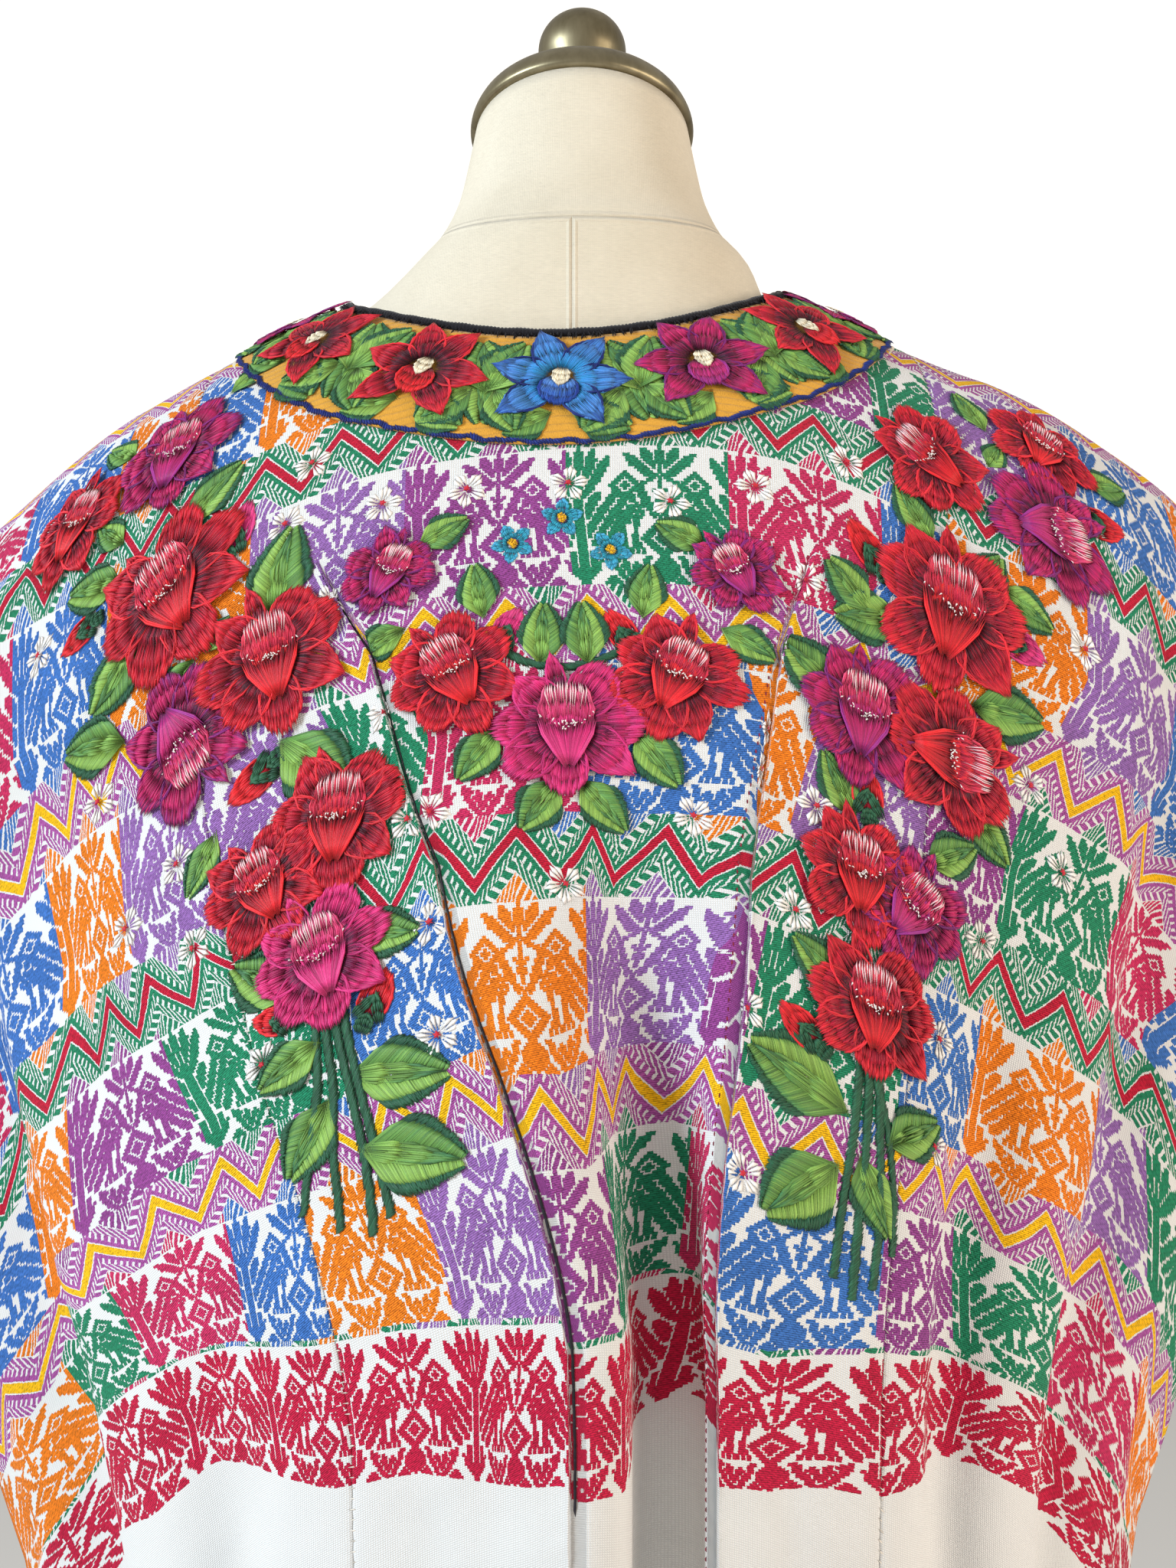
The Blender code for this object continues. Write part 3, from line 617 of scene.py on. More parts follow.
RIGHT_WARPS = (
    Warp(0.110, (0.152, 0.261, 0.374, 0.492, 0.583, 0.643)),
    Warp(0.135, (0.152, 0.261, 0.374, 0.490, 0.582, 0.638)),
    Warp(0.160, (0.152, 0.261, 0.373, 0.487, 0.571, 0.627)),
    Warp(0.190, (0.152, 0.264, 0.372, 0.478, 0.558, 0.620)),
    Warp(0.235, (0.152, 0.267, 0.372, 0.472, 0.547, 0.594)),
    Warp(0.270, (0.150, 0.262, 0.374, 0.474, 0.542, 0.584)),
    Warp(0.310, (0.150, 0.255, 0.365, 0.465, 0.535, 0.580)),
    Warp(0.360, (0.155, 0.250, 0.345, 0.442, 0.520, 0.570)),
    Warp(0.460, (0.160, 0.245, 0.335, 0.426, 0.505, 0.560)),
)
print("bands at", len(LEFT_WARPS + MIDDLE_WARPS + RIGHT_WARPS), "places across")

# %% [markdown]
# The second table gives the repeats across at five heights, in five parts, because the
# weave jumps at each seam and at each tuck. A whole number is the trunk of a tree.

# %% The repeats across
REPEAT_ROWS = (0.21, 0.32, 0.44, 0.55, 0.62)
STRIP_REPEATS, ON_LINE = 0.045, 1e-5
REPEATS = {
    "side left": (
        ((-0.46, 0.0), (-0.285, 2.0), (-0.225, 3.0), (-0.19, 3.6)),
        ((-0.46, 0.0), (-0.275, 2.0), (-0.238, 3.0), (-0.19, 3.95)),
        ((-0.46, 0.0), (-0.300, 2.0), (-0.215, 3.0), (-0.19, 3.4)),
        ((-0.46, 0.0), (-0.330, 1.0), (-0.270, 2.0), (-0.225, 3.0), (-0.19, 3.8)),
        ((-0.46, 0.0), (-0.330, 1.0), (-0.275, 2.0), (-0.225, 3.0), (-0.19, 3.7)),
    ),
    "left": (
        ((-0.19, 4.4), (-0.068, 6.0), (0.085, 8.0)),
        ((-0.19, 4.0), (-0.115, 5.0), (-0.095, 5.3)),
        ((-0.19, 4.25), (-0.145, 5.0), (-0.115, 5.5), (-0.090, 5.95)),
        ((-0.19, 4.0), (-0.135, 5.0), (-0.112, 5.5), (-0.095, 5.9)),
        ((-0.19, 4.0), (-0.162, 4.5), (-0.135, 5.0), (-0.120, 5.5), (-0.095, 5.95)),
    ),
    "middle": (
        ((-0.19, 4.4), (-0.068, 6.0), (0.008, 7.0), (0.085, 8.0), (0.19, 9.4)),
        ((-0.080, 5.7), (-0.056, 6.0), (0.020, 7.0), (0.085, 7.9)),
        ((-0.062, 6.1), (-0.035, 6.5), (0.003, 7.0), (0.019, 7.5), (0.062, 8.0)),
        ((-0.060, 6.35), (-0.050, 6.5), (-0.015, 7.0), (0.003, 7.5), (0.035, 8.0),
         (0.062, 8.4)),
        ((-0.060, 6.5), (-0.030, 7.0), (-0.005, 7.5), (0.020, 8.0), (0.062, 8.5)),
    ),
    "right": (
        ((0.068, 7.8), (0.085, 8.0), (0.19, 9.4)),
        ((0.100, 8.5), (0.135, 9.0), (0.19, 9.8)),
        ((0.105, 8.8), (0.118, 9.0), (0.19, 9.99)),
        ((0.105, 9.02), (0.145, 9.5), (0.19, 9.99)),
        ((0.105, 9.1), (0.135, 9.5), (0.19, 9.99)),
    ),
    "side right": (
        ((0.19, 10.01), (0.27, 11.0), (0.33, 12.0), (0.46, 13.7)),
        ((0.19, 10.1), (0.235, 11.0), (0.30, 12.0), (0.36, 13.0), (0.46, 13.99)),
        ((0.19, 10.2), (0.235, 11.0), (0.32, 12.0), (0.40, 13.0), (0.46, 13.8)),
        ((0.19, 10.2), (0.255, 11.0), (0.36, 12.0), (0.46, 13.0)),
        ((0.19, 10.3), (0.24, 11.0), (0.31, 12.0), (0.40, 13.0), (0.46, 13.8)),
    ),
}
print("repeats in", len(REPEATS), "parts")


# %% Both tables at a flat point
def woven(u, v):
    """The place in the weave of each flat point: repeats across, and rows down."""
    left, left_end, right_start, right = tuck_lines(v)
    tucked = v > TUCKS[0].v
    grown = v > TUCKS[1].v
    in_left = grown & (u > left + ON_LINE) & (u < left_end - ON_LINE)
    in_right = grown & (u > right_start + ON_LINE) & (u < right - ON_LINE)
    u = np.where(in_left, left_end, np.where(in_right, right_start, u))
    part = np.select([u < -SEAM_U, u > SEAM_U, tucked & (u < (left + left_end) / 2),
                      tucked & (u > (right_start + right) / 2)], [0, 4, 1, 3], 2)
    across, down = np.zeros(u.shape), np.zeros(u.shape)
    between_tucks = LEFT_WARPS[5:7] + MIDDLE_WARPS + RIGHT_WARPS[2:4]
    warps = (LEFT_WARPS, LEFT_WARPS, between_tucks, RIGHT_WARPS, RIGHT_WARPS)
    for number, (rows, columns) in enumerate(zip(REPEATS.values(), warps)):
        here = part == number
        x, y = u[here], v[here]
        level = np.interp(y, REPEAT_ROWS, range(len(REPEAT_ROWS)))
        found = np.stack([np.interp(x, *zip(*row)) for row in rows])
        low = np.minimum(level.astype(int), len(rows) - 2)
        pick = np.arange(len(x))
        across[here] = (found[low, pick] * (low + 1 - level)
                        + found[low + 1, pick] * (level - low))
        places = np.array([(*BAND_PLACES[:2], *warp.places, HEM_V) for warp in columns])
        at = np.stack([np.interp(x, [warp.u for warp in columns], places[:, k])
                       for k in range(places.shape[1])])
        run = np.abs(y)
        for k in range(len(at) - 1):
            share = np.clip((run - at[k]) / (at[k + 1] - at[k]), 0.0, 1.0)
            down[here] += share * (BAND_PLACES[k + 1] - BAND_PLACES[k])
    across[in_left] -= STRIP_REPEATS
    across[in_right] += STRIP_REPEATS
    return across, down


print("weave in the middle of the hem", *woven(np.array([0.0]), np.array([HEM_V])))

# %% [markdown]
# The brocade runs in bands across the cloth: a zigzag, a row of birds, a zigzag and so
# on, then a row all in crimson and plain cloth down to the hem. The shader works out
# which band and which cell each point is in, then its yarn. The fine weave and the
# strands of the yarn follow the flat cloth itself, so they stay the same size all over.

# %% The yarns and their blocks
# Blue, orange, lilac, green, rose and purple
YARNS = {"B": "4073BE", "O": "F07F1C", "L": "9669AF", "G": "238560", "R": "C92E5E",
         "P": "964690"}
CRIMSON, GOLD_YARN, RED_LINE = linear("C51C42"), linear("F7BD14"), linear("C21B38")
FRINGE_GREEN, FRINGE_LILAC = linear("24845F"), linear("AB559F")
WHITE_YARN = linear("ECEBE9")
BLOCKS = ("GRBOBOLGPGLBOG", "GRBOOLPGRBOLBO", "RBOLLGRBOLPGRB", "BOPGGBOLPGBOLG",
          "OGRBOLPGRBPGRO")
FIRST_ZIGZAG, BAND_PITCH, ZIGZAG_HALF = BAND_PLACES[1], 0.112, 0.020
BORDER_TOP, BORDER_TALL, BORDER_GAP_ROWS = 0.5935, 0.0675, 0.4
CELL, ZIGZAG_RISE = 0.0013, 18.5
UNEVEN_CELLS, UNEVEN_DOWN = 0.9, 0.0009


def block_colour(tree, row, column):
    """The yarn of a block, from its figure row and its repeat."""
    ramps = [stepped_ramp(tree, column, [linear(YARNS[letter]) for letter in line])
             for line in BLOCKS]
    colour = ramps[0]
    for k in range(1, len(ramps)):
        colour = blend(tree, row > k - 0.5, colour, ramps[k])
    return colour


print(len(BLOCKS), "rows of", len(BLOCKS[0]), "blocks")

# %% [markdown]
# Every part of a zigzag is a distance from its middle line, counted in woven cells: the
# bright line, a cord on each side of it, slanting teeth, a comb that slants the other
# way, and past them the yarn of the blocks above and below.

# %% The zigzags between the rows of birds
LINE_END, CORD_CELLS, TEETH_CELLS, COMB_CELLS, OUTER_START = (
    2.5, (3.2, 5.7), (5.6, 9.2), (9.2, 14.5), 15.0)
TEETH_PITCH, TEETH_SLANT, TEETH_SHARE = 1.75, 0.30, 0.62
COMB_PITCH, COMB_SLANT, COMB_SHARE = 2.3, -0.55, 0.64
OUTER_SHARE = 0.66


def zigzag(tree, x, off, across, band, yarn):
    """Where a zigzag has yarn, and its colour, from the cells that a point is off it."""
    far = off.size()
    teeth_part = ((x + off * TEETH_SLANT) / TEETH_PITCH).part()
    comb_part = ((x + off * COMB_SLANT) / COMB_PITCH).part()
    line = far < LINE_END
    cord, teeth, comb = ((far > low) * (far < high)
                         for low, high in (CORD_CELLS, TEETH_CELLS, COMB_CELLS))
    teeth = teeth * (teeth_part < TEETH_SHARE)
    comb = comb * (comb_part < COMB_SHARE)
    outer = (far > OUTER_START) * (teeth_part < OUTER_SHARE)
    odd = (band % 2.0) > 0.5
    above = block_colour(tree, band - 1.0, (across + 0.5).whole())
    colour = blend(tree, odd, FRINGE_LILAC, FRINGE_GREEN)
    colour = blend(tree, outer, colour, blend(tree, off < 0.0, yarn, above))
    colour = blend(tree, line, colour, blend(tree, odd, GOLD_YARN, RED_LINE))
    return (line + cord + teeth + comb + outer).clip(), colour


print("a zigzag is", 2 * ZIGZAG_HALF, "tall and rises", ZIGZAG_RISE, "cells")

# %% [markdown]
# The whole brocade puts the figures, the zigzags and the crimson border together. A ridge
# for each pick of yarn, and a plain weave between the figures, make it look woven. Each
# pick is also painted darker along its edges, as painted shade between the rounded yarns.

# %% The whole brocade
PICK_TALL, PICK_RUN, BRICK_LONG, BRICK_SHIFT = 0.00095, 0.0042, 0.0030, 0.37
WARP_WIDE, WEFT_TALL = 0.00105, 0.00098
DIAMOND_CELLS = 4.0


def brocade():
    material, tree, shader = new_material("brocaded_cloth", 0.85, Sheen_Weight=0.05,
                                          Specular_IOR_Level=0.15)
    place = uv_place(tree, "flat")
    u, v, _ = split(tree, place)
    across, down, _ = split(tree, uv_place(tree, "woven"))
    jitter_x, jitter_y, _ = split(tree, noise_vector(tree, place, 850.0))
    x = (across + 0.5) * UNIT_CELLS + jitter_x * UNEVEN_CELLS
    down = down + jitter_y * UNEVEN_DOWN

    step = (down - FIRST_ZIGZAG + ZIGZAG_HALF) / BAND_PITCH
    band, part = step.whole(), step.part()
    zigzag_share = 2 * ZIGZAG_HALF / BAND_PITCH
    border_row = (down - BORDER_TOP) / BORDER_TALL * CHART_TALL
    in_border = (border_row > 0.0) * (border_row < CHART_TALL)
    in_zigzag = (part < zigzag_share) * (border_row < 0.0)
    gap = (border_row + BORDER_GAP_ROWS).size() < BORDER_GAP_ROWS
    bare = (border_row > CHART_TALL).math("MAXIMUM", gap)

    figure_row = (part - zigzag_share) / (1.0 - zigzag_share) * CHART_TALL
    figure = charted(tree, x, figure_row + (border_row - figure_row) * in_border)
    yarn = block_colour(tree, band, (across + DIAMOND_CELLS / UNIT_CELLS).whole())
    yarn = blend(tree, in_border, yarn, CRIMSON)
    saw = x / (UNIT_CELLS / 2)
    saw = ((saw - (saw + 0.5).whole()).size() * 2.0 - 0.5) * ZIGZAG_RISE
    off = (part * BAND_PITCH - ZIGZAG_HALF) / CELL - saw
    has_zigzag, zigzag_colour = zigzag(tree, x, off, across, band, yarn)
    has_yarn = (figure * in_zigzag.flip() + has_zigzag * in_zigzag).clip() * bare.flip()

    pick = v / PICK_TALL + u / PICK_RUN
    pick_edge = pick.ridge(3.0)
    brick_edge = (u / BRICK_LONG + (pick.whole() % 3.0) * BRICK_SHIFT).ridge(5.0)
    strands = noise(tree, join(tree, u * 1.6, v * 5.0, 0.0), 520.0, 3.0, 0.65)
    twists = noise(tree, join(tree, u * 1.5 + v * 0.9, v * 3.4 - u * 1.1, 0.0), 230.0)
    patches = noise(tree, place, 34.0)
    # painted shade: each pick is darker at its edges and float ends, between the rounded
    # yarns
    yarn_shade = (strands * 0.80 + twists * 1.30 + 0.10 - pick_edge * 0.36
                  - brick_edge * 0.34 + (patches - 0.5) * 0.46)
    on_yarn = strands * 0.30 + twists * 0.90 + 0.30 - pick_edge * 0.40 - brick_edge * 0.30

    warp, weft = u / WARP_WIDE, v / WEFT_TALL
    weave = ((warp * math.pi).wave() * (weft * math.pi).wave()).size()
    ground = shaded(tree, WHITE_YARN, weave * 0.20 + 0.82 + (patches - 0.5) * 0.10)
    figures = shaded(tree, blend(tree, in_zigzag, yarn, zigzag_colour), yarn_shade)
    dress(tree, shader, blend(tree, has_yarn, ground, figures),
          has_yarn * on_yarn + has_yarn.flip() * weave * 0.26, 0.00110, 0.9)
    return material


BROCADE = brocade()
print("brocade shader", len(BROCADE.node_tree.nodes), "nodes")

# %% [markdown]
# Each lienzo is a thin sheet laid out on its flat points: the UV map called flat keeps
# them, so the weave follows every fold. The Solidify modifier then gives the sheet its
# thickness and closes its edges.

# %% A sheet from flat points
def numbered(rows, columns):
    """A grid of point numbers."""
    return np.arange(rows * columns).reshape(rows, columns)


def ringed(index):
    """A grid of point numbers with its first column again at its end."""
    return np.concatenate([index, index[:, :1]], 1)


def quads(index):
    return np.stack([part.ravel() for part in (index[:-1, :-1], index[1:, :-1],
                                               index[1:, 1:], index[:-1, 1:])], 1)


def net_faces(index, u, v):
    """Quads over a grid of point numbers, all turned to face out of the cloth."""
    faces = quads(index)
    face_u, face_v = u[faces], v[faces]
    turn = (face_u * np.roll(face_v, -1, 1) - np.roll(face_u, -1, 1) * face_v).sum(1)
    faces[turn > 0] = faces[turn > 0][:, ::-1]
    return faces


def show(obj, material):
    bpy.context.scene.collection.objects.link(obj)
    obj.data.materials.append(material)
    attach(obj, "root")
    return obj


def cloth_piece(name, u, v, lift, faces, material, thick):
    mesh = bpy.data.meshes.new(name)
    mesh.from_pydata(drape(u, v, lift).tolist(), [], faces.tolist())
    corner = np.empty(len(mesh.loops), int)
    mesh.loops.foreach_get("vertex_index", corner)
    for layer, (x, y) in (("flat", (u, v)), ("woven", woven(u, v))):
        mesh.uv_layers.new(name=layer)
        mesh.uv_layers[layer].data.foreach_set(
            "uv", np.stack([x[corner], y[corner]], 1).ravel())
    mesh.shade_smooth()
    piece = show(bpy.data.objects.new(name, mesh), material)
    wall = piece.modifiers.new("thickness", "SOLIDIFY")
    wall.thickness, wall.offset = thick, 0.0
    return piece


print("sheets lie on a grid of", PLACES.shape[:2], "places")

# %% [markdown]
# A plain grid would cut steps into the neck hole and the tucks. So the points run in
# rings round the neck, and along a tuck the columns lean with the stitched line and stand
# closer, because the cloth turns sharply there.

# %% Nets of flat points
NEAR_EDGE = np.array([0.0, 0.0012, 0.003])
NEAR_TUCK = np.array([0.0035, 0.0015, 0.0005, 0.0, -0.0004])
EDGE = SEAM_U - THREAD / 2
EDGE_GAP, TUCK_GAP, LEAST_TAKEN = 0.007, 0.006, 0.001
LEFT_COUNT, BETWEEN_COUNT, RIGHT_COUNT, FRONT_COUNT = 18, 48, 16, 77
BOX_BACK, BOX_FRONT, ROW_STEP = 0.205, 0.235, 0.005
BACK_SIDE_COUNT, FRONT_SIDE_COUNT = 42, 48
NECK_NET, BOX_NET = 13, (0.12, 0.25, 0.40, 0.55, 0.70, 0.82, 0.91, 0.97, 1.0)


def neck_flat(angle, out):
    """Flat points round the neck hole: out is 0 at its edge and 1 at the yoke's edge."""
    side = NECK_HALF + out * YOKE_SIDE
    deep = np.where(np.sin(angle) > 0, NECK_BACK, NECK_FRONT) + out * YOKE_DEEP
    return side * np.cos(angle), deep * np.sin(angle)


def back_columns(v):
    """The columns of the middle lienzo's back at one v: they lean with both tucks."""
    left, left_end, right_start, right = (float(x) for x in tuck_lines(v))
    left_end = max(left_end, left + LEAST_TAKEN)
    right_start = min(right_start, right - LEAST_TAKEN)
    return np.concatenate([
        NEAR_EDGE - EDGE, np.linspace(EDGE_GAP - EDGE, left - TUCK_GAP, LEFT_COUNT),
        left - NEAR_TUCK, np.linspace(left_end, right_start, BETWEEN_COUNT),
        right + NEAR_TUCK[::-1],
        np.linspace(right + TUCK_GAP, EDGE - EDGE_GAP, RIGHT_COUNT),
        EDGE - NEAR_EDGE[::-1]])


print(len(back_columns(HEM_V)), "columns on the back")


# %% The net of the middle lienzo
def middle_net():
    """Rings round the neck that grow into a box, then rows down the back and the front."""
    side_back = np.linspace(0.0, BOX_BACK, BACK_SIDE_COUNT)[1:-1]
    side_front = np.linspace(0.0, -BOX_FRONT, FRONT_SIDE_COUNT)[1:-1]
    back = back_columns(BOX_BACK)[::-1]
    front = np.linspace(-EDGE, EDGE, FRONT_COUNT)
    edge_u = np.concatenate([[EDGE], np.full(len(side_back), EDGE), back,
                             np.full(len(side_back), -EDGE), [-EDGE],
                             np.full(len(side_front), -EDGE), front,
                             np.full(len(side_front), EDGE)])
    edge_v = np.concatenate([[0.0], side_back, np.full(len(back), BOX_BACK),
                             side_back[::-1], [0.0], side_front,
                             np.full(len(front), -BOX_FRONT), side_front[::-1]])
    angle = np.arctan2(edge_v / np.where(edge_v > 0, NECK_BACK, NECK_FRONT),
                       edge_u / NECK_HALF)
    rings = [neck_flat(angle, out) for out in np.linspace(0.0, 1.0, NECK_NET)]
    start_u, start_v = rings[-1]
    rings += [(start_u + (edge_u - start_u) * share, start_v + (edge_v - start_v) * share)
              for share in BOX_NET]
    u, v = (np.concatenate([ring[k] for ring in rings]) for k in (0, 1))
    index = numbered(len(rings), len(edge_u))
    grids = [ringed(index)]
    first = 1 + len(side_back)
    front_first = first + len(back) + len(side_back) + 1 + len(side_front)
    for top, rows, columns in (
            (index[-1, first:first + len(back)], np.arange(BOX_BACK, HEM_V, ROW_STEP)[1:],
             lambda row: back_columns(row)[::-1]),
            (index[-1, front_first:front_first + len(front)],
             -np.arange(BOX_FRONT, HEM_V, ROW_STEP)[1:], lambda row: front)):
        rows = np.append(rows, math.copysign(HEM_V, rows[0]))
        added_u = np.concatenate([columns(abs(row)) for row in rows])
        numbers = len(u) + np.arange(len(added_u)).reshape(len(rows), -1)
        u = np.concatenate([u, added_u])
        v = np.concatenate([v, np.repeat(rows, numbers.shape[1])])
        grids.append(np.concatenate([top[None], numbers]))
    return u, v, np.concatenate([net_faces(grid, u, v) for grid in grids])


flat_u, flat_v, flat_faces = middle_net()
print("middle net", len(flat_u), "points")

# %% [markdown]
# The middle lienzo has the neck hole and the two tucks. The side ones are plain strips,
# so their nets are straight rows and columns, finer along the seam.

# %% The three lienzos
SIDE_COLUMNS, SIDE_ROWS = 52, 265
middle = cloth_piece("lienzo_middle_cloth", flat_u, flat_v, relief(flat_u, flat_v),
                     flat_faces, BROCADE, CLOTH_THICK)
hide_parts("lienzo_middle")
for name, way in (("left", -1.0), ("right", 1.0)):
    near = SEAM_U + THREAD / 2
    plain = np.linspace(near + EDGE_GAP, EDGE_U - NEAR_EDGE[-1], SIDE_COLUMNS)
    columns = np.concatenate([near + NEAR_EDGE, plain, [EDGE_U]]) * way
    rows = np.linspace(-HEM_V, HEM_V, SIDE_ROWS)
    u, v = (grid.ravel() for grid in np.meshgrid(columns, rows))
    faces = net_faces(numbered(SIDE_ROWS, len(columns)), u, v)
    panel = cloth_piece(f"lienzo_{name}_cloth", u, v, relief(u, v), faces, BROCADE,
                        CLOTH_THICK)
    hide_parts(f"lienzo_{name}")
    print(panel.name, len(panel.data.polygons), "faces")
print(middle.name, len(middle.data.polygons), "faces")

# %% [markdown]
# The yoke is a band of close embroidery round the neck on a cloth of its own. It lies on
# the middle lienzo, so it takes the same rings of flat points, a little further out.

# %% The yoke
YOKE_THICK = 0.0014
YOKE_LIFT = CLOTH_THICK / 2 + THREAD + YOKE_THICK / 2
YOKE_GOLD, GOLD_ROW = linear("DD9E2A"), 0.0042
YOKE_RINGS, YOKE_TURNS = 29, 360


def yoke_ground():
    material, tree, shader = new_material("yoke_ground", 0.62, Sheen_Weight=0.3,
                                          Specular_IOR_Level=0.3)
    place = uv_place(tree, "flat")
    u, v, _ = split(tree, place)
    strands = noise(tree, join(tree, u * 6.0, v * 1.2, 0.0), 520.0, 2.0, 0.6)
    patches = noise(tree, place, 60.0)
    row_edge = ((v + (patches - 0.5) * 0.004) / GOLD_ROW).ridge(4.0)
    # painted shade: each row of gold stitches is a little darker along its edges
    shade = strands * 0.50 + 0.78 + (patches - 0.5) * 0.30 - row_edge * 0.16
    dress(tree, shader, shaded(tree, YOKE_GOLD, shade), strands - row_edge * 0.6, 0.0006,
          0.9)
    return material


angles = np.linspace(0.0, 2 * math.pi, YOKE_TURNS + 1)[:-1]
outs = np.linspace(0.0, 1.0, YOKE_RINGS)
u, v = (grid.ravel() for grid in neck_flat(*np.meshgrid(angles, outs)))
yoke = cloth_piece("neck_yoke_cloth", u, v, relief(u, v) + YOKE_LIFT,
                   net_faces(ringed(numbered(YOKE_RINGS, YOKE_TURNS)), u, v),
                   yoke_ground(), YOKE_THICK)
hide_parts("neck_yoke")
print(yoke.name, len(yoke.data.polygons), "faces")

# %% [markdown]
# The raw edge of the neck hole is bound with black wool, worked over and over. Its
# slanted stitches could each be a curve, but one tube whose radius rises and falls along
# a spiral reads the same and stays light.

# %% The binding at the neck
BINDING_RADIUS, BINDING_SIDES, BINDING_STEPS = 0.0024, 10, 1200
STITCH_LONG, STITCH_LOW, STITCH_RISE, STITCH_ROUND = 0.0019, 0.80, 0.26, 0.7
WOOL_UNEVEN = 0.8


def black_wool():
    """A soft dark wool with fine uneven strands."""
    material, tree, shader = new_material("black_wool", 0.9, Sheen_Weight=0.2,
                                          Specular_IOR_Level=0.25)
    strands = noise(tree, object_place(tree), 1500.0, 2.0, 0.6)
    shade = strands * WOOL_UNEVEN + (1.0 - WOOL_UNEVEN / 2)
    dress(tree, shader, shaded(tree, linear("15131A"), shade), strands, 0.0004, 0.8)
    return material


def full_turn(steps):
    """Even angles once round."""
    return np.linspace(0.0, 2 * math.pi, steps, endpoint=False)


def closed_mesh(shape, name):
    """The mesh of a finished bmesh, smooth and with its faces turned out."""
    bmesh.ops.recalc_face_normals(shape, faces=shape.faces)
    mesh = bpy.data.meshes.new(name)
    shape.to_mesh(mesh)
    shape.free()
    mesh.shade_smooth()
    return mesh


def ring_tube(name, centres, radius):
    """A tube round a closed line of centres. The radius is a table, steps by sides."""
    ahead = np.roll(centres, -1, 0) - np.roll(centres, 1, 0)
    ahead /= np.linalg.norm(ahead, axis=1, keepdims=True)
    up = np.cross(ahead, [0.0, 0.0, 1.0])
    up /= np.linalg.norm(up, axis=1, keepdims=True)
    over = np.cross(ahead, up)
    turn = full_turn(radius.shape[1])[None, :, None]
    ring = np.cos(turn) * up[:, None] + np.sin(turn) * over[:, None]
    points = (centres[:, None] + ring * radius[..., None]).reshape(-1, 3)
    index = ringed(numbered(*radius.shape))
    faces = quads(np.concatenate([index, index[:1]]))[:, [0, 3, 2, 1]]
    tube = bmesh.new()
    verts = [tube.verts.new(point) for point in points.tolist()]
    for corners in faces.tolist():
        tube.faces.new([verts[corner] for corner in corners])
    return closed_mesh(tube, name)


inward = -(BINDING_RADIUS + THREAD) / YOKE_SIDE
angles = full_turn(BINDING_STEPS)
u, v = neck_flat(angles, inward)
centres = drape(u, v, relief(u, v) + CLOTH_THICK / 2 + YOKE_THICK)
steps = np.linalg.norm(np.diff(centres, axis=0), axis=1)
run = np.concatenate([[0.0], np.cumsum(steps)])
stitches = round(run[-1] / STITCH_LONG)
turn = full_turn(BINDING_SIDES)
phase = (run / run[-1] * stitches)[:, None] + turn[None, :] / (2 * math.pi)
ridge = np.abs(np.sin(math.pi * phase)) ** STITCH_ROUND
swell = 1.0 + 0.10 * np.sin(37.0 * angles) * np.sin(11.0 * angles + 1.0)
radius = BINDING_RADIUS * swell[:, None] * (STITCH_LOW + STITCH_RISE * ridge)
name = "neck_binding_stitches"
binding = show(bpy.data.objects.new(name, ring_tube(name, centres, radius)), black_wool())
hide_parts("neck_binding")
print("neck binding with", stitches, "stitches")

# %% [markdown]
# The dress form is a stuffed torso covered in canvas. It is lofted here through level
# rings, which lean where the neck leans, and under the shoulders it follows the cloth.
# A sculpt would do as well, but rings keep the body smooth and symmetric.

# %% The rings of the dress form
Ring = namedtuple("Ring", "z half_width back front middle_y tilt", defaults=(0.0, 0.0))
NECK_RINGS = (
    Ring(1.536, 0.0590, 0.0590, 0.0590, 0.020, 21.0),
    Ring(1.512, 0.0635, 0.0630, 0.0600, 0.016, 17.0),
    Ring(1.490, 0.0690, 0.0675, 0.0620, 0.012, 13.0),
    Ring(1.470, 0.0790, 0.0735, 0.0680, 0.007, 9.0),
    Ring(1.456, 0.0920, 0.0800, 0.0790, 0.003, 5.0),
)
BODY_RINGS = (
    Ring(1.330, 0.1930, 0.1200, 0.1160), Ring(1.270, 0.1760, 0.1220, 0.1280),
    Ring(1.210, 0.1640, 0.1170, 0.1370), Ring(1.140, 0.1500, 0.1060, 0.1230),
    Ring(1.080, 0.1330, 0.0950, 0.1030), Ring(1.030, 0.1260, 0.0880, 0.0940),
    Ring(0.970, 0.1380, 0.0920, 0.1000), Ring(0.900, 0.1560, 0.0990, 0.1090),
    Ring(0.840, 0.1640, 0.1040, 0.1130), Ring(0.790, 0.1620, 0.1020, 0.1100),
    Ring(0.766, 0.1590, 0.1000, 0.1080),
)
SHOULDER_TIP_U, SHOULDER_DEEP_V, FRONT_DEEPER, FORM_CLEAR = 0.192, 0.175, 0.020, 0.0022
SHOULDER_SHARES = np.linspace(-0.12, 0.95, 8)
FORM_SIDES, FORM_BETWEEN, CAP_INSET = 96, 4, 0.003
print(len(NECK_RINGS), "rings for the neck and", len(BODY_RINGS), "for the body")


# %% The form through its rings
def body_ring(ring):
    angle, lean = full_turn(FORM_SIDES), math.radians(ring.tilt)
    depth = np.where(np.sin(angle) > 0, ring.back, ring.front)
    x, y = ring.half_width * np.cos(angle), -depth * np.sin(angle)
    return np.stack([x, ring.middle_y + y * math.cos(lean),
                     ring.z - y * math.sin(lean)], 1)


def shoulder_ring(share):
    """A ring that follows the cloth above it, part of the way to the shoulder tip."""
    angle = full_turn(FORM_SIDES)
    behind = np.sin(angle) > 0
    side = NECK_HALF + share * (SHOULDER_TIP_U - NECK_HALF)
    start = np.where(behind, NECK_BACK, NECK_FRONT)
    deep = start + share * (SHOULDER_DEEP_V - start + np.where(behind, 0.0, FRONT_DEEPER))
    u, v = side * np.cos(angle), deep * np.sin(angle)
    return drape(u, v, relief(u, v) - CLOTH_THICK / 2 - FORM_CLEAR)


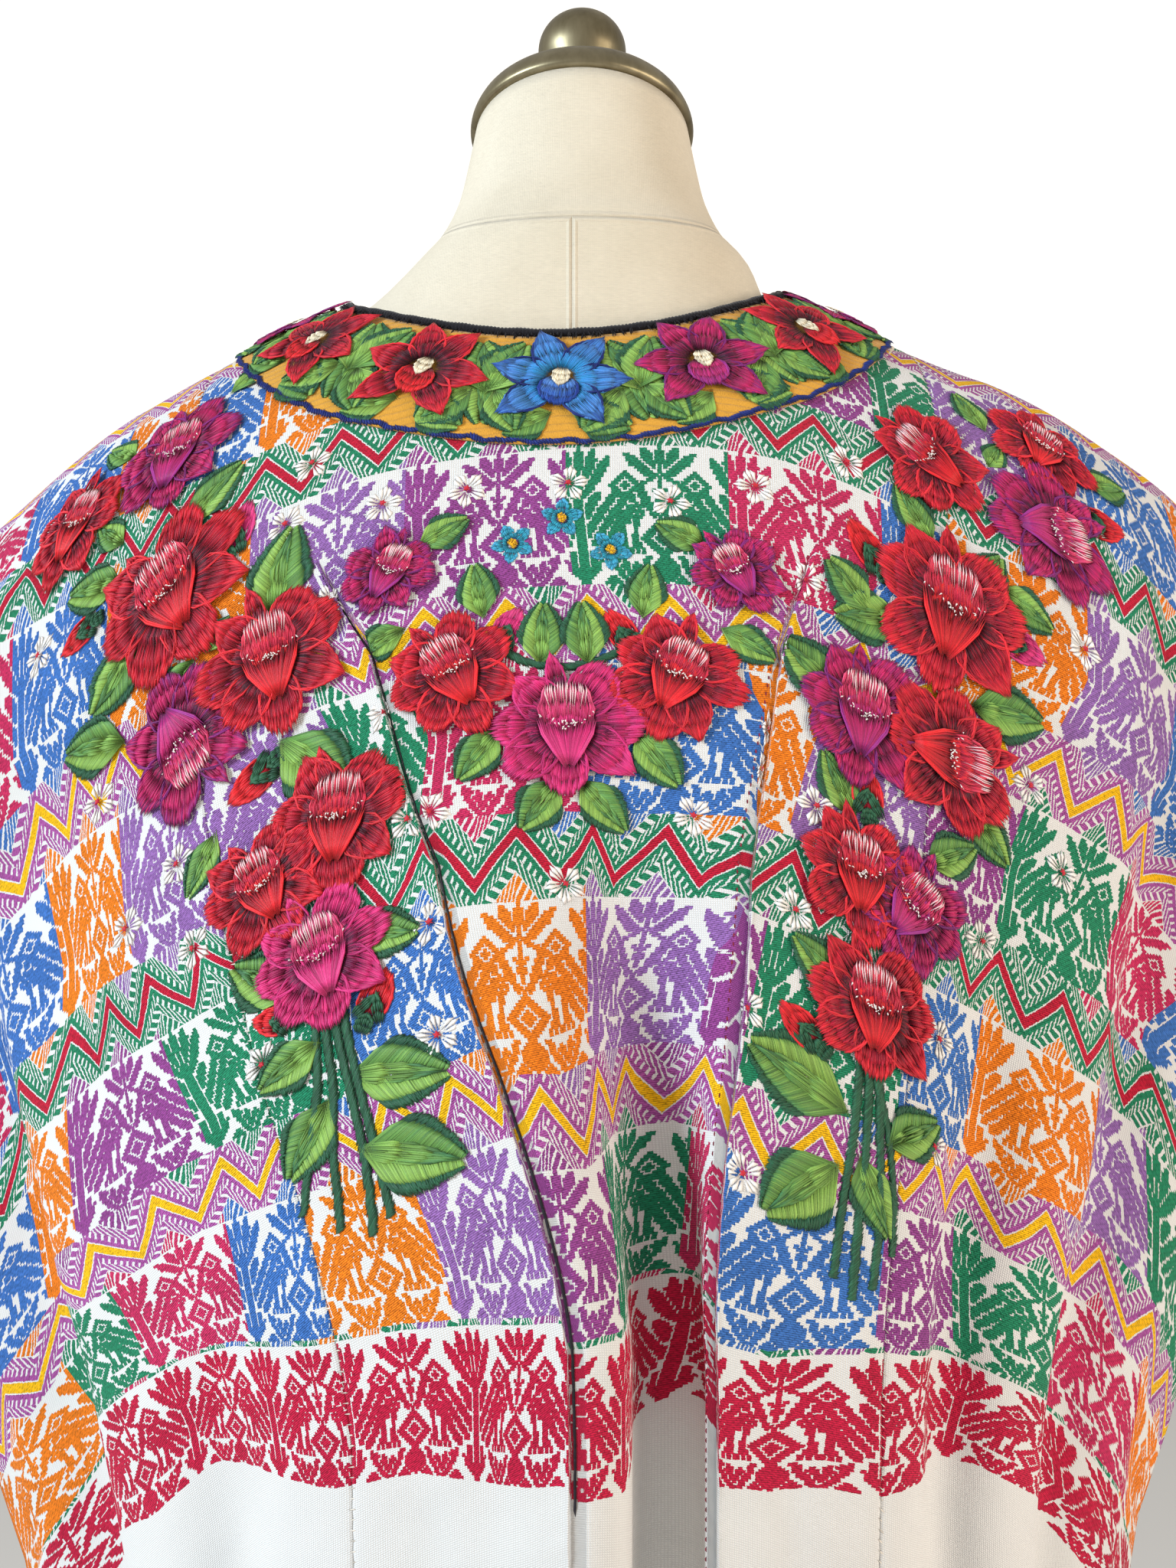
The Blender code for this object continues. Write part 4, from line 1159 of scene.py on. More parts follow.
def between(rings, steps):
    """Catmull-Rom rings between the given ones."""
    rings = np.asarray(rings)
    before, after = rings[:1] * 2 - rings[1:2], rings[-1:] * 2 - rings[-2:-1]
    ends = np.concatenate([before, rings, after])
    made = []
    for k in range(len(rings) - 1):
        a, b, c, d = ends[k:k + 4]
        for t in np.arange(steps) / steps:
            made.append(0.5 * (2 * b + (c - a) * t + (2 * a - 5 * b + 4 * c - d) * t ** 2
                               + (3 * b - a - 3 * c + d) * t ** 3))
    return [*made, rings[-1]]


keys = [body_ring(ring) for ring in NECK_RINGS]
keys += [shoulder_ring(share) for share in SHOULDER_SHARES]
keys += [body_ring(ring) for ring in BODY_RINGS]
rings = between(keys, FORM_BETWEEN)
form = bmesh.new()
loops = [[form.verts.new(point) for point in ring.tolist()] for ring in rings]
for upper, lower in zip(loops, loops[1:]):
    for k in range(FORM_SIDES):
        form.faces.new([upper[k - 1], upper[k], lower[k], lower[k - 1]])
caps = [form.faces.new(loops[0]), form.faces.new(loops[-1])]
bmesh.ops.recalc_face_normals(form, faces=form.faces)
bmesh.ops.inset_region(form, faces=caps, thickness=CAP_INSET)
print("form body", len(rings), "rings")

# %% [markdown]
# Canvas is a plain weave with thicker threads here and there. A seam rings the neck and
# another runs down the back: a narrow groove with a raised strip of turned-in cloth on
# each side. The shader draws both from the distance to two planes, and paints the groove a
# little darker as painted shade and the strips a little lighter as a painted highlight.

# %% Canvas over the form
SEAM_HEIGHT, SEAM_SLOPE, BACK_SEAM_X = 1.4742, 0.100, -0.0047
CANVAS_WAVES, GROOVE_WIDE, WELT_OUT, WELT_WIDE = 5200.0, 0.0007, 0.0016, 0.0014


def canvas():
    material, tree, shader = new_material("form_canvas", 0.9, Sheen_Weight=0.2,
                                          Specular_IOR_Level=0.2)
    place = object_place(tree)
    x, y, z = split(tree, place)
    weave = ((x * CANVAS_WAVES).wave() * (z * CANVAS_WAVES).wave()).size()
    slubs = noise(tree, join(tree, x, y, z * 7.0), 260.0, 2.0, 0.6)
    stains = noise(tree, place, 9.0, 3.0, 0.6)
    ring_far = (z - SEAM_HEIGHT - y * SEAM_SLOPE).size()
    under = z < (y * SEAM_SLOPE + SEAM_HEIGHT)
    back_far = (x - BACK_SEAM_X).size() + (y > 0.0) * 1.0 + under.flip() * 1.0
    near = ring_far.math("MINIMUM", back_far)
    groove = (near / GROOVE_WIDE).flip().clip()
    welt = ((near - WELT_OUT).size() / WELT_WIDE).flip().clip()
    # painted shade in the seam groove, and a faint painted highlight on the raised strips
    shade = (slubs * 0.20 + weave * 0.10 + 0.82 + (stains - 0.5) * 0.24
             - groove * 0.11 + welt * 0.03)
    warm = blend(tree, stains, linear("E3D6BC"), linear("F1E8D6"))
    dress(tree, shader, shaded(tree, warm, shade),
          weave * 0.25 + slubs * 0.35 + welt * 1.2 - groove * 0.8, 0.0007)
    return material


body = show(bpy.data.objects.new("form_body", closed_mesh(form, "form_body")), canvas())
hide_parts("form_torso")
print("form body", len(body.data.polygons), "faces")

# %% [markdown]
# The cap, its knob and the foot are round. Each could be stacked from cylinders, but half
# an outline spun round an axis gives every bead and hollow in one go.

# %% The turned metal parts
CAP_PROFILE = (
    (0.0, 0.0), (0.0575, 0.0), (0.0612, 0.0012), (0.0620, 0.0040), (0.0612, 0.0085),
    (0.0580, 0.0150), (0.0500, 0.0215), (0.0390, 0.0260), (0.0290, 0.0285),
    (0.0285, 0.0315), (0.0, 0.0315),
)
FINIAL_PROFILE = (
    (0.0, 0.0), (0.0255, 0.0), (0.0272, 0.0018), (0.0272, 0.0064), (0.0256, 0.0084),
    (0.0212, 0.0098), (0.0200, 0.0136), (0.0218, 0.0180), (0.0242, 0.0236),
    (0.0250, 0.0300), (0.0240, 0.0368), (0.0206, 0.0434), (0.0148, 0.0488),
    (0.0076, 0.0520), (0.0, 0.0530),
)
BASE_PROFILE = (
    (0.0, 0.0), (0.1600, 0.0), (0.1650, 0.0030), (0.1650, 0.0100), (0.1600, 0.0135),
    (0.1300, 0.0160), (0.0700, 0.0210), (0.0400, 0.0270), (0.0300, 0.0360),
    (0.0290, 0.0450), (0.0, 0.0450),
)
TURN_STEPS, SHARP_DEG = 96, 50
print("outlines of", [len(rows) for rows in (CAP_PROFILE, FINIAL_PROFILE, BASE_PROFILE)])

# %% [markdown]
# The brass is old: brown and streaky where hands never reach, brighter where they do. Two
# noises mix a dark and a light metal, and the cloudy one also makes it dull in places.

# %% Old brass and dark iron
def metal(name, dark, light, roughness, streak):
    """Old metal, its streaks drawn out along the upright where streak is small."""
    material, tree, shader = new_material(name, roughness, Metallic=0.85)
    place = object_place(tree)
    x, y, z = split(tree, place)
    streaks = noise(tree, join(tree, x, y, z * streak), 55.0, 4.0, 0.65)
    clouds = noise(tree, place, 22.0, 3.0, 0.6)
    share = ((streaks - 0.5) * 1.6 + (clouds - 0.5) * 1.2 + 0.5).clip()
    tree.links.new((clouds * 0.30 + roughness - 0.12).socket, shader.inputs["Roughness"])
    dress(tree, shader, blend(tree, share, dark, light), streaks * 0.5 + clouds * 0.5,
          0.0004, 0.5)
    return material


BRASS = metal("old_brass_metal", linear("5C5238"), linear("A0967A"), 0.34, 0.25)
IRON = metal("dark_iron_metal", linear("1C1C1E"), linear("3A3A3C"), 0.45, 1.0)
print("metals", BRASS.name, "and", IRON.name)


# %% A lathe for the cap, the knob and the foot
def turned(name, profile, material, place):
    """Half an outline spun round the upright axis, then set in place."""
    lathe = bmesh.new()
    rounded = np.array(profile)
    for _ in range(2):
        cut = np.concatenate([rounded[:-1] * 0.75 + rounded[1:] * 0.25,
                              rounded[:-1] * 0.25 + rounded[1:] * 0.75], 1)
        rounded = np.concatenate([rounded[:1], cut.reshape(-1, 2), rounded[-1:]])
    verts = [lathe.verts.new((r, 0.0, z)) for r, z in rounded.tolist()]
    edges = [lathe.edges.new(pair) for pair in zip(verts, verts[1:])]
    bmesh.ops.spin(lathe, geom=verts + edges, cent=(0, 0, 0), axis=(0, 0, 1),
                   angle=2 * math.pi, steps=TURN_STEPS, use_merge=True)
    bmesh.ops.remove_doubles(lathe, verts=lathe.verts, dist=1e-6)
    bmesh.ops.transform(lathe, matrix=place, verts=lathe.verts)
    made = closed_mesh(lathe, name)
    made.set_sharp_from_angle(angle=math.radians(SHARP_DEG))
    return show(bpy.data.objects.new(name, made), material)


def neck_top(height):
    """The leaning place at this height over the top of the neck."""
    ring = NECK_RINGS[0]
    lean = math.radians(ring.tilt)
    place = (0.0, ring.middle_y + height * math.sin(lean),
             ring.z + height * math.cos(lean))
    return Matrix.Translation(place) @ Matrix.Rotation(-lean, 4, "X")


cap = turned("neck_cap_turned", CAP_PROFILE, BRASS, neck_top(THREAD))
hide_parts("neck_cap")
knob = turned("finial_turned", FINIAL_PROFILE, BRASS,
              neck_top(CAP_PROFILE[-1][1] + 2 * THREAD))
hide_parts("neck_finial")
foot = turned("stand_base_turned", BASE_PROFILE, IRON, Matrix.Identity(4))
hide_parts("stand_base")
for name in ("form_bottom_plate", "stand_pole"):
    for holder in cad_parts[name].material_slots:
        holder.material = IRON
print("turned", [piece.name for piece in (cap, knob, foot)])

# %% [markdown]
# The flowers are satin stitch: long strands laid side by side until they hide the cloth.
# A picture on a flat sheet would be lighter, but real strands catch the light and give the
# ragged edges of hand work. Each stitch here is a small closed spindle of six triangles,
# or of twelve where it bends. It is placed on the flat cloth first, and drape() then
# carries it over the folds. A seeded generator makes the same uneven hand each time.

# %% One stitch, and a mesh of many
HAND = np.random.default_rng(20)
SECTIONS = np.array([0.0, 0.33, 0.67, 1.0])
STRAIGHT, BENT = (2,), (1, 2)
STITCH_CROWN, CROWN_SHARE, END_SINK = 0.0005, 0.5, 0.8
DIMMEST, BRIGHTEST = 0.62, 1.18
ON_CLOTH = CLOTH_THICK / 2
ON_YOKE = ON_CLOTH + THREAD + YOKE_THICK


def tones(*codes):
    return np.array([linear(code) for code in codes])


def shades(colours, t, uneven=0.17):
    """The colours of a run of stitches, from a palette read at t, a little uneven."""
    t = np.clip(t + HAND.uniform(-uneven, uneven, t[:, :1].shape), 0.0, 1.0)
    at = np.linspace(0.0, 1.0, len(colours))
    made = np.stack([np.interp(t, at, channel) for channel in colours.T], -1)
    return made * HAND.uniform(DIMMEST, BRIGHTEST, (len(t), 1, 1))


def turned_to(place, heading, x, y):
    """Flat points from drawing points: x runs along the heading, y to its left."""
    angle = math.radians(heading)
    return np.stack([place[0] + x * math.cos(angle) - y * math.sin(angle),
                     place[1] - x * math.sin(angle) - y * math.cos(angle)], -1)


def thread_material():
    """Glossy thread that takes its colour from each stitch."""
    material, tree, shader = new_material("embroidery_thread", 0.50, Sheen_Weight=0.05,
                                          Specular_IOR_Level=0.28)
    paint = tree.nodes.new("ShaderNodeAttribute")
    paint.attribute_name = "thread"
    strands = noise(tree, object_place(tree), 1500.0, 2.0, 0.6)
    colour = shaded(tree, paint.outputs["Color"], strands * 0.5 + 0.78)
    dress(tree, shader, colour, strands, 0.0003, 0.7)
    return material


THREADS = thread_material()
print("thread material", THREADS.name)

# %% [markdown]
# Thousands of stitches as objects of their own would be slow, so numpy works out all the
# points of a flower bed at once, and each piece becomes a single mesh.

# %% A mesh of many stitches
class Embroidery:
    """Stitches gathered on the flat cloth and made into one piece."""

    def __init__(self, name, ground, way=1.0, lower=0.0):
        self.name, self.ground, self.way, self.lower = name, ground, way, lower
        self.runs = []

    def add(self, places, width, lift, colours, rings=STRAIGHT):
        """Add stitches of four points each; rings says where a stitch is thick."""
        count = len(places)
        places = np.stack([places[..., 0], self.way * (places[..., 1] + self.lower)], -1)
        self.runs.append((rings, places, np.broadcast_to(width, count),
                          np.broadcast_to(lift, count),
                          np.broadcast_to(colours, (count, 4, 3))))

    def spindles(self, rings):
        """The points, colours and faces of the stitches with these rings."""
        places, width, lift, colours = (
            np.concatenate([run[k] for run in self.runs if run[0] == rings])
            for k in range(1, 5))
        ahead = np.gradient(places, axis=1)
        ahead /= np.linalg.norm(ahead, axis=2, keepdims=True) + 1e-9
        side = np.stack([-ahead[..., 1], ahead[..., 0]], -1) * (width / 2)[:, None, None]
        crown = np.minimum(width * CROWN_SHARE, STITCH_CROWN)
        sunk = lift - END_SINK * crown
        flat, high, seen = [places[:, 0]], [sunk], [colours[:, 0]]
        for k in rings:
            flat += [places[:, k] + side[:, k], places[:, k] - side[:, k], places[:, k]]
            high += [lift, lift, lift + crown]
            seen += [colours[:, k]] * 3
        flat = np.stack([*flat, places[:, 3]], 1)
        high = np.stack([*high, sunk], 1)
        u, v = flat[..., 0], flat[..., 1]
        points = drape(u, v, relief(u, v) + self.ground + high)
        last, end = 3 * len(rings) - 2, 3 * len(rings) + 1
        faces = [(0, 1, 3), (0, 3, 2), (0, 2, 1), (end, last + 2, last),
                 (end, last + 1, last + 2), (end, last, last + 1)]
        if len(rings) > 1:
            faces += [(1, 4, 6), (1, 6, 3), (3, 6, 5), (3, 5, 2), (2, 5, 4), (2, 4, 1)]
        starts = np.arange(len(places))[:, None, None] * (end + 1)
        return (points.reshape(-1, 3), np.stack([*seen, colours[:, 3]], 1).reshape(-1, 3),
                (starts + np.array(faces)).reshape(-1, 3))

    def make(self):
        kinds = [rings for rings in (STRAIGHT, BENT)
                 if any(run[0] == rings for run in self.runs)]
        parts = [self.spindles(rings) for rings in kinds]
        faces = [part[2] for part in parts]
        if len(parts) > 1:
            faces[1] = faces[1] + len(parts[0][0])
        mesh = bpy.data.meshes.new(self.name)
        mesh.from_pydata(np.concatenate([part[0] for part in parts]).tolist(), [],
                         np.concatenate(faces).tolist())
        seen = np.concatenate([part[1] for part in parts])
        paint = mesh.attributes.new("thread", "FLOAT_COLOR", "POINT")
        paint.data.foreach_set("color", np.insert(seen, 3, 1.0, 1).ravel())
        mesh.shade_smooth()
        piece = show(bpy.data.objects.new(self.name, mesh), THREADS)
        print(self.name, len(mesh.polygons), "triangles")


print("a straight stitch has 6 triangles and a bent one 12")

# %% [markdown]
# Each palette runs from the root of a petal to its tip, one colour of thread after the
# other. A flower has one for its petals, two for the front and the mouth of its cup, and
# a colour each for the edges of both.

# %% The colours of the threads
Flower = namedtuple("Flower", "petal edge front mouth bright")
RED, PLUM, PINK, SKY = (
    Flower(tones(*petals), tones(edge)[0], tones(*front), tones(*mouth), tones(bright)[0])
    for petals, edge, front, mouth, bright in (
        (("2A0616", "4C0A20", "9E1230", "C61C32", "DC2834"), "DE2A38",
         ("7A1028", "B01428", "DC222C", "E22A30"), ("A0183A", "D02C48", "E04E64"),
         "E82A32"),
        (("2A0824", "560E3A", "AE1C58", "C82466", "80226E"), "7E2070",
         ("8A1A52", "C0266C", "B82A74", "8A2878"), ("A81E50", "D43668", "E0507A"),
         "A0308A"),
        (("340A28", "661240", "B4205E", "D62C72", "D83A80"), "CE2E78",
         ("A01C58", "C8286E", "DA347C", "E04886"), ("A81C54", "D43A70", "E4668E"),
         "DE4488"),
        (("2390C4", "3C86CC", "4C84C8", "28509E"), "16286E",
         ("6FA2E0", "4A7CC8", "2450A6", "1A3A8C"), ("1A3A8C", "2F62B4", "6FA2E0"),
         "1E3A90")))
WHITE_THREAD, STREAK_THREAD, CREAM_THREAD, RED_KNOT = tones(
    "F6F1EC", "F0CDD0", "EFE3C8", "C8283A")
LEAF_LIGHT = tones("7CA64C", "A2C85E", "98BE5A", "86AE54", "5C8E4C")
LEAF_SHADE = tones("5C8C42", "8AB254", "7CA650", "5C8C48", "40744A")
LEAF_DARK = tones("224E38", "2F6648")
NAVY_CORD = tones("101C56", "1C3288")
print("red petals run from", RED.petal[0].round(2), "to", RED.petal[-1].round(2))

# %% [markdown]
# A petal is filled in three rows, long and short, from a dark root to a bright tip. Such
# rows overlap, so no gap shows where one thread ends and the next begins.

# %% Petals
STRAND = 0.00085
PETAL_ROWS = ((0.0, 0.50), (0.26, 0.82), (0.58, 1.0))
PETAL_THREAD, PETAL_EDGE_THREAD = STRAND * 1.75, STRAND * 1.3
PETAL_ROW_LIFT, PETAL_EDGE_LIFT = 0.00012, 0.0004


def petal_shape(s, t, point):
    """Place along and across a petal of unit size, from round (0) to pointed (1)."""
    round_wide = 0.40 + 0.60 * np.sin(np.minimum(t / 0.7, 1.0) * math.pi / 2)
    sharp_wide = 1.18 * (0.45 + 2.2 * t) * np.clip(1.0 - t, 0.0, 1.0) ** 0.9 + 0.03
    along_it = t * (1.0 - (0.30 - 0.18 * point) * np.abs(s) ** (2.4 - point))
    return along_it, s * (round_wide + (sharp_wide - round_wide) * point)


def uneven_columns(reach, count):
    """Places across from -reach to reach, each moved by up to half a stitch."""
    return np.linspace(-reach, reach, count) + HAND.uniform(-0.5, 0.5, count) / count


def petal(work, place, heading, start, long, wide, point, colours, lift, edge=None):
    """One petal: long and wide are its size, and point says how pointed it is."""
    columns = max(5, round(2 * wide / STRAND))
    for tier, (low, high) in enumerate(PETAL_ROWS):
        s = uneven_columns(0.97, columns)
        low = low + HAND.uniform(-0.10, 0.10, columns) * (tier > 0)
        high = high + HAND.uniform(-0.05, 0.04, columns)
        t = low + (high - low) * SECTIONS[:, None]
        x, y = petal_shape(s, t, point)
        work.add(turned_to(place, heading, (start + long * x).T, (wide * y).T),
                 PETAL_THREAD, lift + PETAL_ROW_LIFT * tier, shades(colours, t.T))
    if edge is not None:
        s = np.array([-1.0, -0.95, 0.95, 1.0])
        t = np.array([0.10, 0.20, 0.20, 0.10]) + 0.86 * SECTIONS[:, None]
        x, y = petal_shape(s, np.minimum(t, 1.0), point)
        work.add(turned_to(place, heading, (start + long * x).T, (wide * y).T),
                 PETAL_EDGE_THREAD, lift + PETAL_EDGE_LIFT, shades(edge[None, :], t.T),
                 BENT)


print("petals of", len(PETAL_ROWS), "rows")

# %% [markdown]
# The big flowers have a cup over their petals. The far wall of its mouth comes first,
# then the near wall from the foot to a curved rim, an edge down both sides, pale streaks
# that fan out of the mouth and white dots along the rim.

# %% Cups
CUP_WALLS = (("mouth", 0.45, 0.85, 0.0), ("mouth", 0.70, 1.02, 0.00012),
             ("front", 0.02, 0.58, 0.0004))
CUP_PLACES = (0.0, 0.15, 0.35, 0.55, 0.8, 1.05)
CUP_HALVES = (0.06, 0.32, 0.66, 0.96, 1.0, 0.66)
CUP_MIDDLE, CUP_BOW, RIM_BOW, RIM_LOWER = 0.5, 0.06, 0.20, 0.08
STREAKS, RIM_DOTS, LOOSE_DOTS = 17, 15, 14
DOTS = RIM_DOTS + LOOSE_DOTS
CUP_THREAD, CUP_EDGE_THREAD = STRAND * 1.5, STRAND * 1.4
STREAK_THICK, DOT_THICK = STRAND * 0.9, STRAND * 0.85
CUP_EDGE_LIFT, STREAK_LIFT, DOT_LIFT = 0.0006, 0.0005, 0.0009


def cup(work, place, heading, long, wide, flower, lift):
    """The cup over the petals: a fan ahead and a pointed funnel behind it."""
    def at(s, t):
        half = np.interp(t, CUP_PLACES, CUP_HALVES)
        return turned_to(place, heading, (long * (t - CUP_MIDDLE - CUP_BOW * s * s)).T,
                         (wide * s * half).T)

    columns = round(2 * wide / STRAND)
    for wall, low, high, tall in CUP_WALLS:
        s, near = uneven_columns(0.95, columns), wall == "front"
        rim = RIM_BOW * s * s - RIM_LOWER if near else 0.0
        t = (low + (high + rim - low + HAND.uniform(-0.06, 0.06, columns))
             * SECTIONS[:, None])
        shade = (1.0 - t.T / 0.6) if near else (t.T - 0.45) / 0.6
        work.add(at(s, t), CUP_THREAD, lift + tall,
                 shades(getattr(flower, wall), shade, 0.22), BENT if near else STRAIGHT)
    s = np.array([-1.03, -0.97, 0.97, 1.03])
    work.add(at(s, 0.03 + 0.62 * SECTIONS[:, None] * np.ones(4)), CUP_EDGE_THREAD,
             lift + CUP_EDGE_LIFT, flower.bright, BENT)
    s = np.linspace(-0.94, 0.94, STREAKS) + HAND.uniform(-0.04, 0.04, STREAKS)
    low = 1.0 - HAND.uniform(0.14, 0.40, STREAKS)
    t = low + (1.04 - low) * SECTIONS[:, None]
    work.add(at(s * (0.35 + 0.65 * (t - CUP_MIDDLE) / 0.5), t), STREAK_THICK,
             lift + STREAK_LIFT, STREAK_THREAD)
    s = np.concatenate([np.linspace(-0.95, 0.95, RIM_DOTS),
                        HAND.normal(0.0, 0.22, LOOSE_DOTS)])
    low = 0.50 + RIM_BOW * s * s + HAND.uniform(-0.05, 0.03, DOTS) * (1.0 - np.abs(s))
    lean = HAND.uniform(-0.14, 0.14, DOTS) * SECTIONS[:, None]
    reach = HAND.uniform(-0.04, 0.06, DOTS) * SECTIONS[:, None]
    work.add(at(s + lean, low + reach), DOT_THICK, lift + DOT_LIFT, WHITE_THREAD)


print("a cup has", STREAKS, "streaks and", DOTS, "white dots")

# %% [markdown]
# A whole flower stacks these parts from the cloth up, each a little higher than the one
# before, as they are sewn. No two come out alike, because every petal is turned and
# stretched a little by chance.

# %% Whole flowers
BIG_TURNS = (180, 130, -132, 84, -80, 38, -34, 12)
STAR_TURNS = (132, -132, 82, -82, 27, -27)


def flower_head(work, place, radius, heading, flower, lift):
    """A big flower: a bed of threads, petals all round, then the cup over them."""
    petal(work, place, heading, -0.34 * radius, 0.72 * radius, 0.30 * radius, 0.2,
          flower.front, lift + 0.0003)
    for k, offset in enumerate(BIG_TURNS):
        spike = abs(offset) < 30
        petal(work, place, heading + offset + HAND.uniform(-8, 8),
              radius * (0.45 if spike else 0.20),
              radius * HAND.uniform(0.80, 0.98) * (0.72 if spike else 1.0),
              radius * (0.13 if spike else HAND.uniform(0.31, 0.38)),
              1.0 if spike else (0.75 if k % 3 == 2 else 0.10),
              flower.petal, lift + 0.00030 * (k % 2), flower.edge)
    cup(work, place, heading, radius * 1.22, radius * 0.42, flower, lift + 0.0007)


def star_head(work, place, radius, heading, flower):
    """A yoke flower: six pointed petals, a small front petal and a pale middle."""
    for k, offset in enumerate(STAR_TURNS):
        petal(work, place, heading + offset + HAND.uniform(-5, 5), radius * 0.16,
              radius * HAND.uniform(0.82, 0.92), radius * 0.27, 0.85, flower.petal,
              0.0001 + 0.00025 * (k % 2), flower.edge)
    petal(work, place, heading + 180, radius * -0.06, radius * 0.56, radius * 0.30, 0.25,
          flower.front, 0.0008, flower.bright)
    petal(work, place, heading + 180, radius * -0.20, radius * 0.36, radius * 0.13, 0.5,
          CREAM_THREAD[None, :], 0.0013)


print("big flowers have", len(BIG_TURNS), "petals and yoke flowers", len(STAR_TURNS))

# %% [markdown]
# A leaf has slanting stitches on both sides of its rib, one side paler than the other,
# and a ragged dark edge. A bud is one short petal held by three green ones.

# %% Leaves and buds
LEAF_SLANT, LEAF_FALL = 0.42, 0.16
LEAF_THREAD, LEAF_EDGE_THREAD = STRAND * 1.7, STRAND * 1.6
LEAF_LIFT, LEAF_EDGE_LIFT, STITCHES_A_STRAND = 0.0004, 0.0005, 1.3


def leaf(work, base, tip, wide, lift, flip):
    """A leaf from its base to its tip. The sign of flip says which side is paler."""
    du, dv = tip[0] - base[0], base[1] - tip[1]
    long, heading = math.hypot(du, dv), math.degrees(math.atan2(dv, du))
    count = max(12, round(long / STRAND * STITCHES_A_STRAND))

    def half(t):
        return np.sin(math.pi * np.clip(t, 0.0, 1.0) ** 0.80) ** 0.85

    def out(end, share):
        return side * half(end) * ((1.0 + LEAF_FALL) * share ** 0.8 - LEAF_FALL)

    petal(work, base, heading, 0.0, long * 0.9, wide * 0.30, 0.8, LEAF_SHADE,
          lift + LEAF_LIFT)
    for side in (1.0, -1.0):
        t = np.linspace(-0.06, 0.90, count) + HAND.uniform(-0.5, 0.5, count) / count
        end = t + LEAF_SLANT * (1.0 - t)
        x, y = t + (end - t) * SECTIONS[:, None], out(end, SECTIONS[:, None])
        colours = LEAF_LIGHT if side * flip > 0 else LEAF_SHADE
        work.add(turned_to(base, heading, (long * x).T, (wide * y).T), LEAF_THREAD,
                 lift + LEAF_LIFT, shades(colours, np.repeat(SECTIONS[None], count, 0)))
        share = HAND.uniform(0.55, 0.76, count) + 0.10 * (side * flip < 0)
        share = share + (HAND.uniform(1.04, 1.16, count) - share) * SECTIONS[:, None]
        x, y = t + (end - t) * share, out(end, share) + 0.02 * side
        work.add(turned_to(base, heading, (long * x).T, (wide * y).T), LEAF_EDGE_THREAD,
                 lift + LEAF_EDGE_LIFT, shades(LEAF_DARK, x.T))
    x = 0.02 + np.array([0.0, 0.2, 0.4]) + 0.30 * SECTIONS[:, None]
    work.add(turned_to(base, heading, (long * x).T, 0.0 * x.T), STRAND,
             lift + LEAF_EDGE_LIFT, shades(LEAF_SHADE, x.T))


def bud(work, place, size, heading, flower):
    petal(work, place, heading, -size, 2.0 * size, 0.62 * size, 0.45, flower.front,
          0.0002, flower.bright)
    for turn in (30.0, -30.0):
        petal(work, place, heading + turn, -1.10 * size, 1.25 * size, 0.17 * size, 1.0,
              LEAF_DARK, 0.0009)
    petal(work, place, heading, -1.40 * size, 0.80 * size, 0.34 * size, 0.6, LEAF_DARK,
          0.0010)


print("1 cm of leaf takes", round(0.01 / STRAND * STITCHES_A_STRAND), "stitches a side")

# %% [markdown]
# Stems and cords are slanting stitches along a path, close enough to read as a twist. A
# daisy is five loose loops of white thread and a red knot.

# %% Stems, cords and daisies
DAISY_SIZE, DAISY_LOOPS, KNOT_THREADS = 0.0102, 5, 3


def rope(work, path, wide, step, colours, lift=0.0002, slant=0.5, steps=2.2):
    """Slanting stitches along a path, each as long as this number of steps."""
    path = np.asarray(path)
    run = np.concatenate([[0.0], np.cumsum(np.hypot(*np.diff(path, axis=0).T))])
    at = np.arange(0.0, run[-1] - step, step)
    low, high = (np.stack([np.interp(at + reach, run, column) for column in path.T], 1)
                 for reach in (0.0, steps * step))
    ahead = (high - low) / (np.linalg.norm(high - low, axis=1, keepdims=True) + 1e-9)
    side = np.stack([-ahead[:, 1], ahead[:, 0]], 1) * wide * slant
    side = side * HAND.uniform(0.8, 1.25, (len(at), 1))
    share = SECTIONS[None, :, None]
    places = (low - side)[:, None] * (1 - share) + (high + side)[:, None] * share
    t = np.repeat(SECTIONS[None], len(at), 0)
    work.add(places, np.minimum(wide * 0.62, 0.0016), lift, shades(colours, t), BENT)


def daisy(work, place):
    turn, size = HAND.uniform(0, 72), DAISY_SIZE
    for k in range(DAISY_LOOPS):
        s = np.array([-0.55, 0.55, 0.0])
        t = np.array([0.90, 0.90, 1.05]) * (0.12 + 0.88 * SECTIONS[:, None])
        bow = np.sin(t * math.pi * 0.9)
        work.add(turned_to(place, turn + 72 * k + HAND.uniform(-7, 7), (size * t).T,
                           (size * 0.40 * s * bow).T), size * 0.22, 0.0003, WHITE_THREAD)
    angle = HAND.uniform(0, 180)
    for k in range(KNOT_THREADS):
        x = size * 0.22 * (SECTIONS[None] * 2 - 1)
        work.add(turned_to(place, angle + 60 * k, x, 0 * x), size * 0.15, 0.0016, RED_KNOT)


print("a daisy has", DAISY_LOOPS * 3 + KNOT_THREADS, "stitches")

# %% [markdown]
# The two sprays run down the shoulders and each ends in a bunch of stems. Their flowers,
# leaves and buds are listed by their flat places, read off the photograph. The same
# sprays, set a little lower, hang down the front, as on the back.

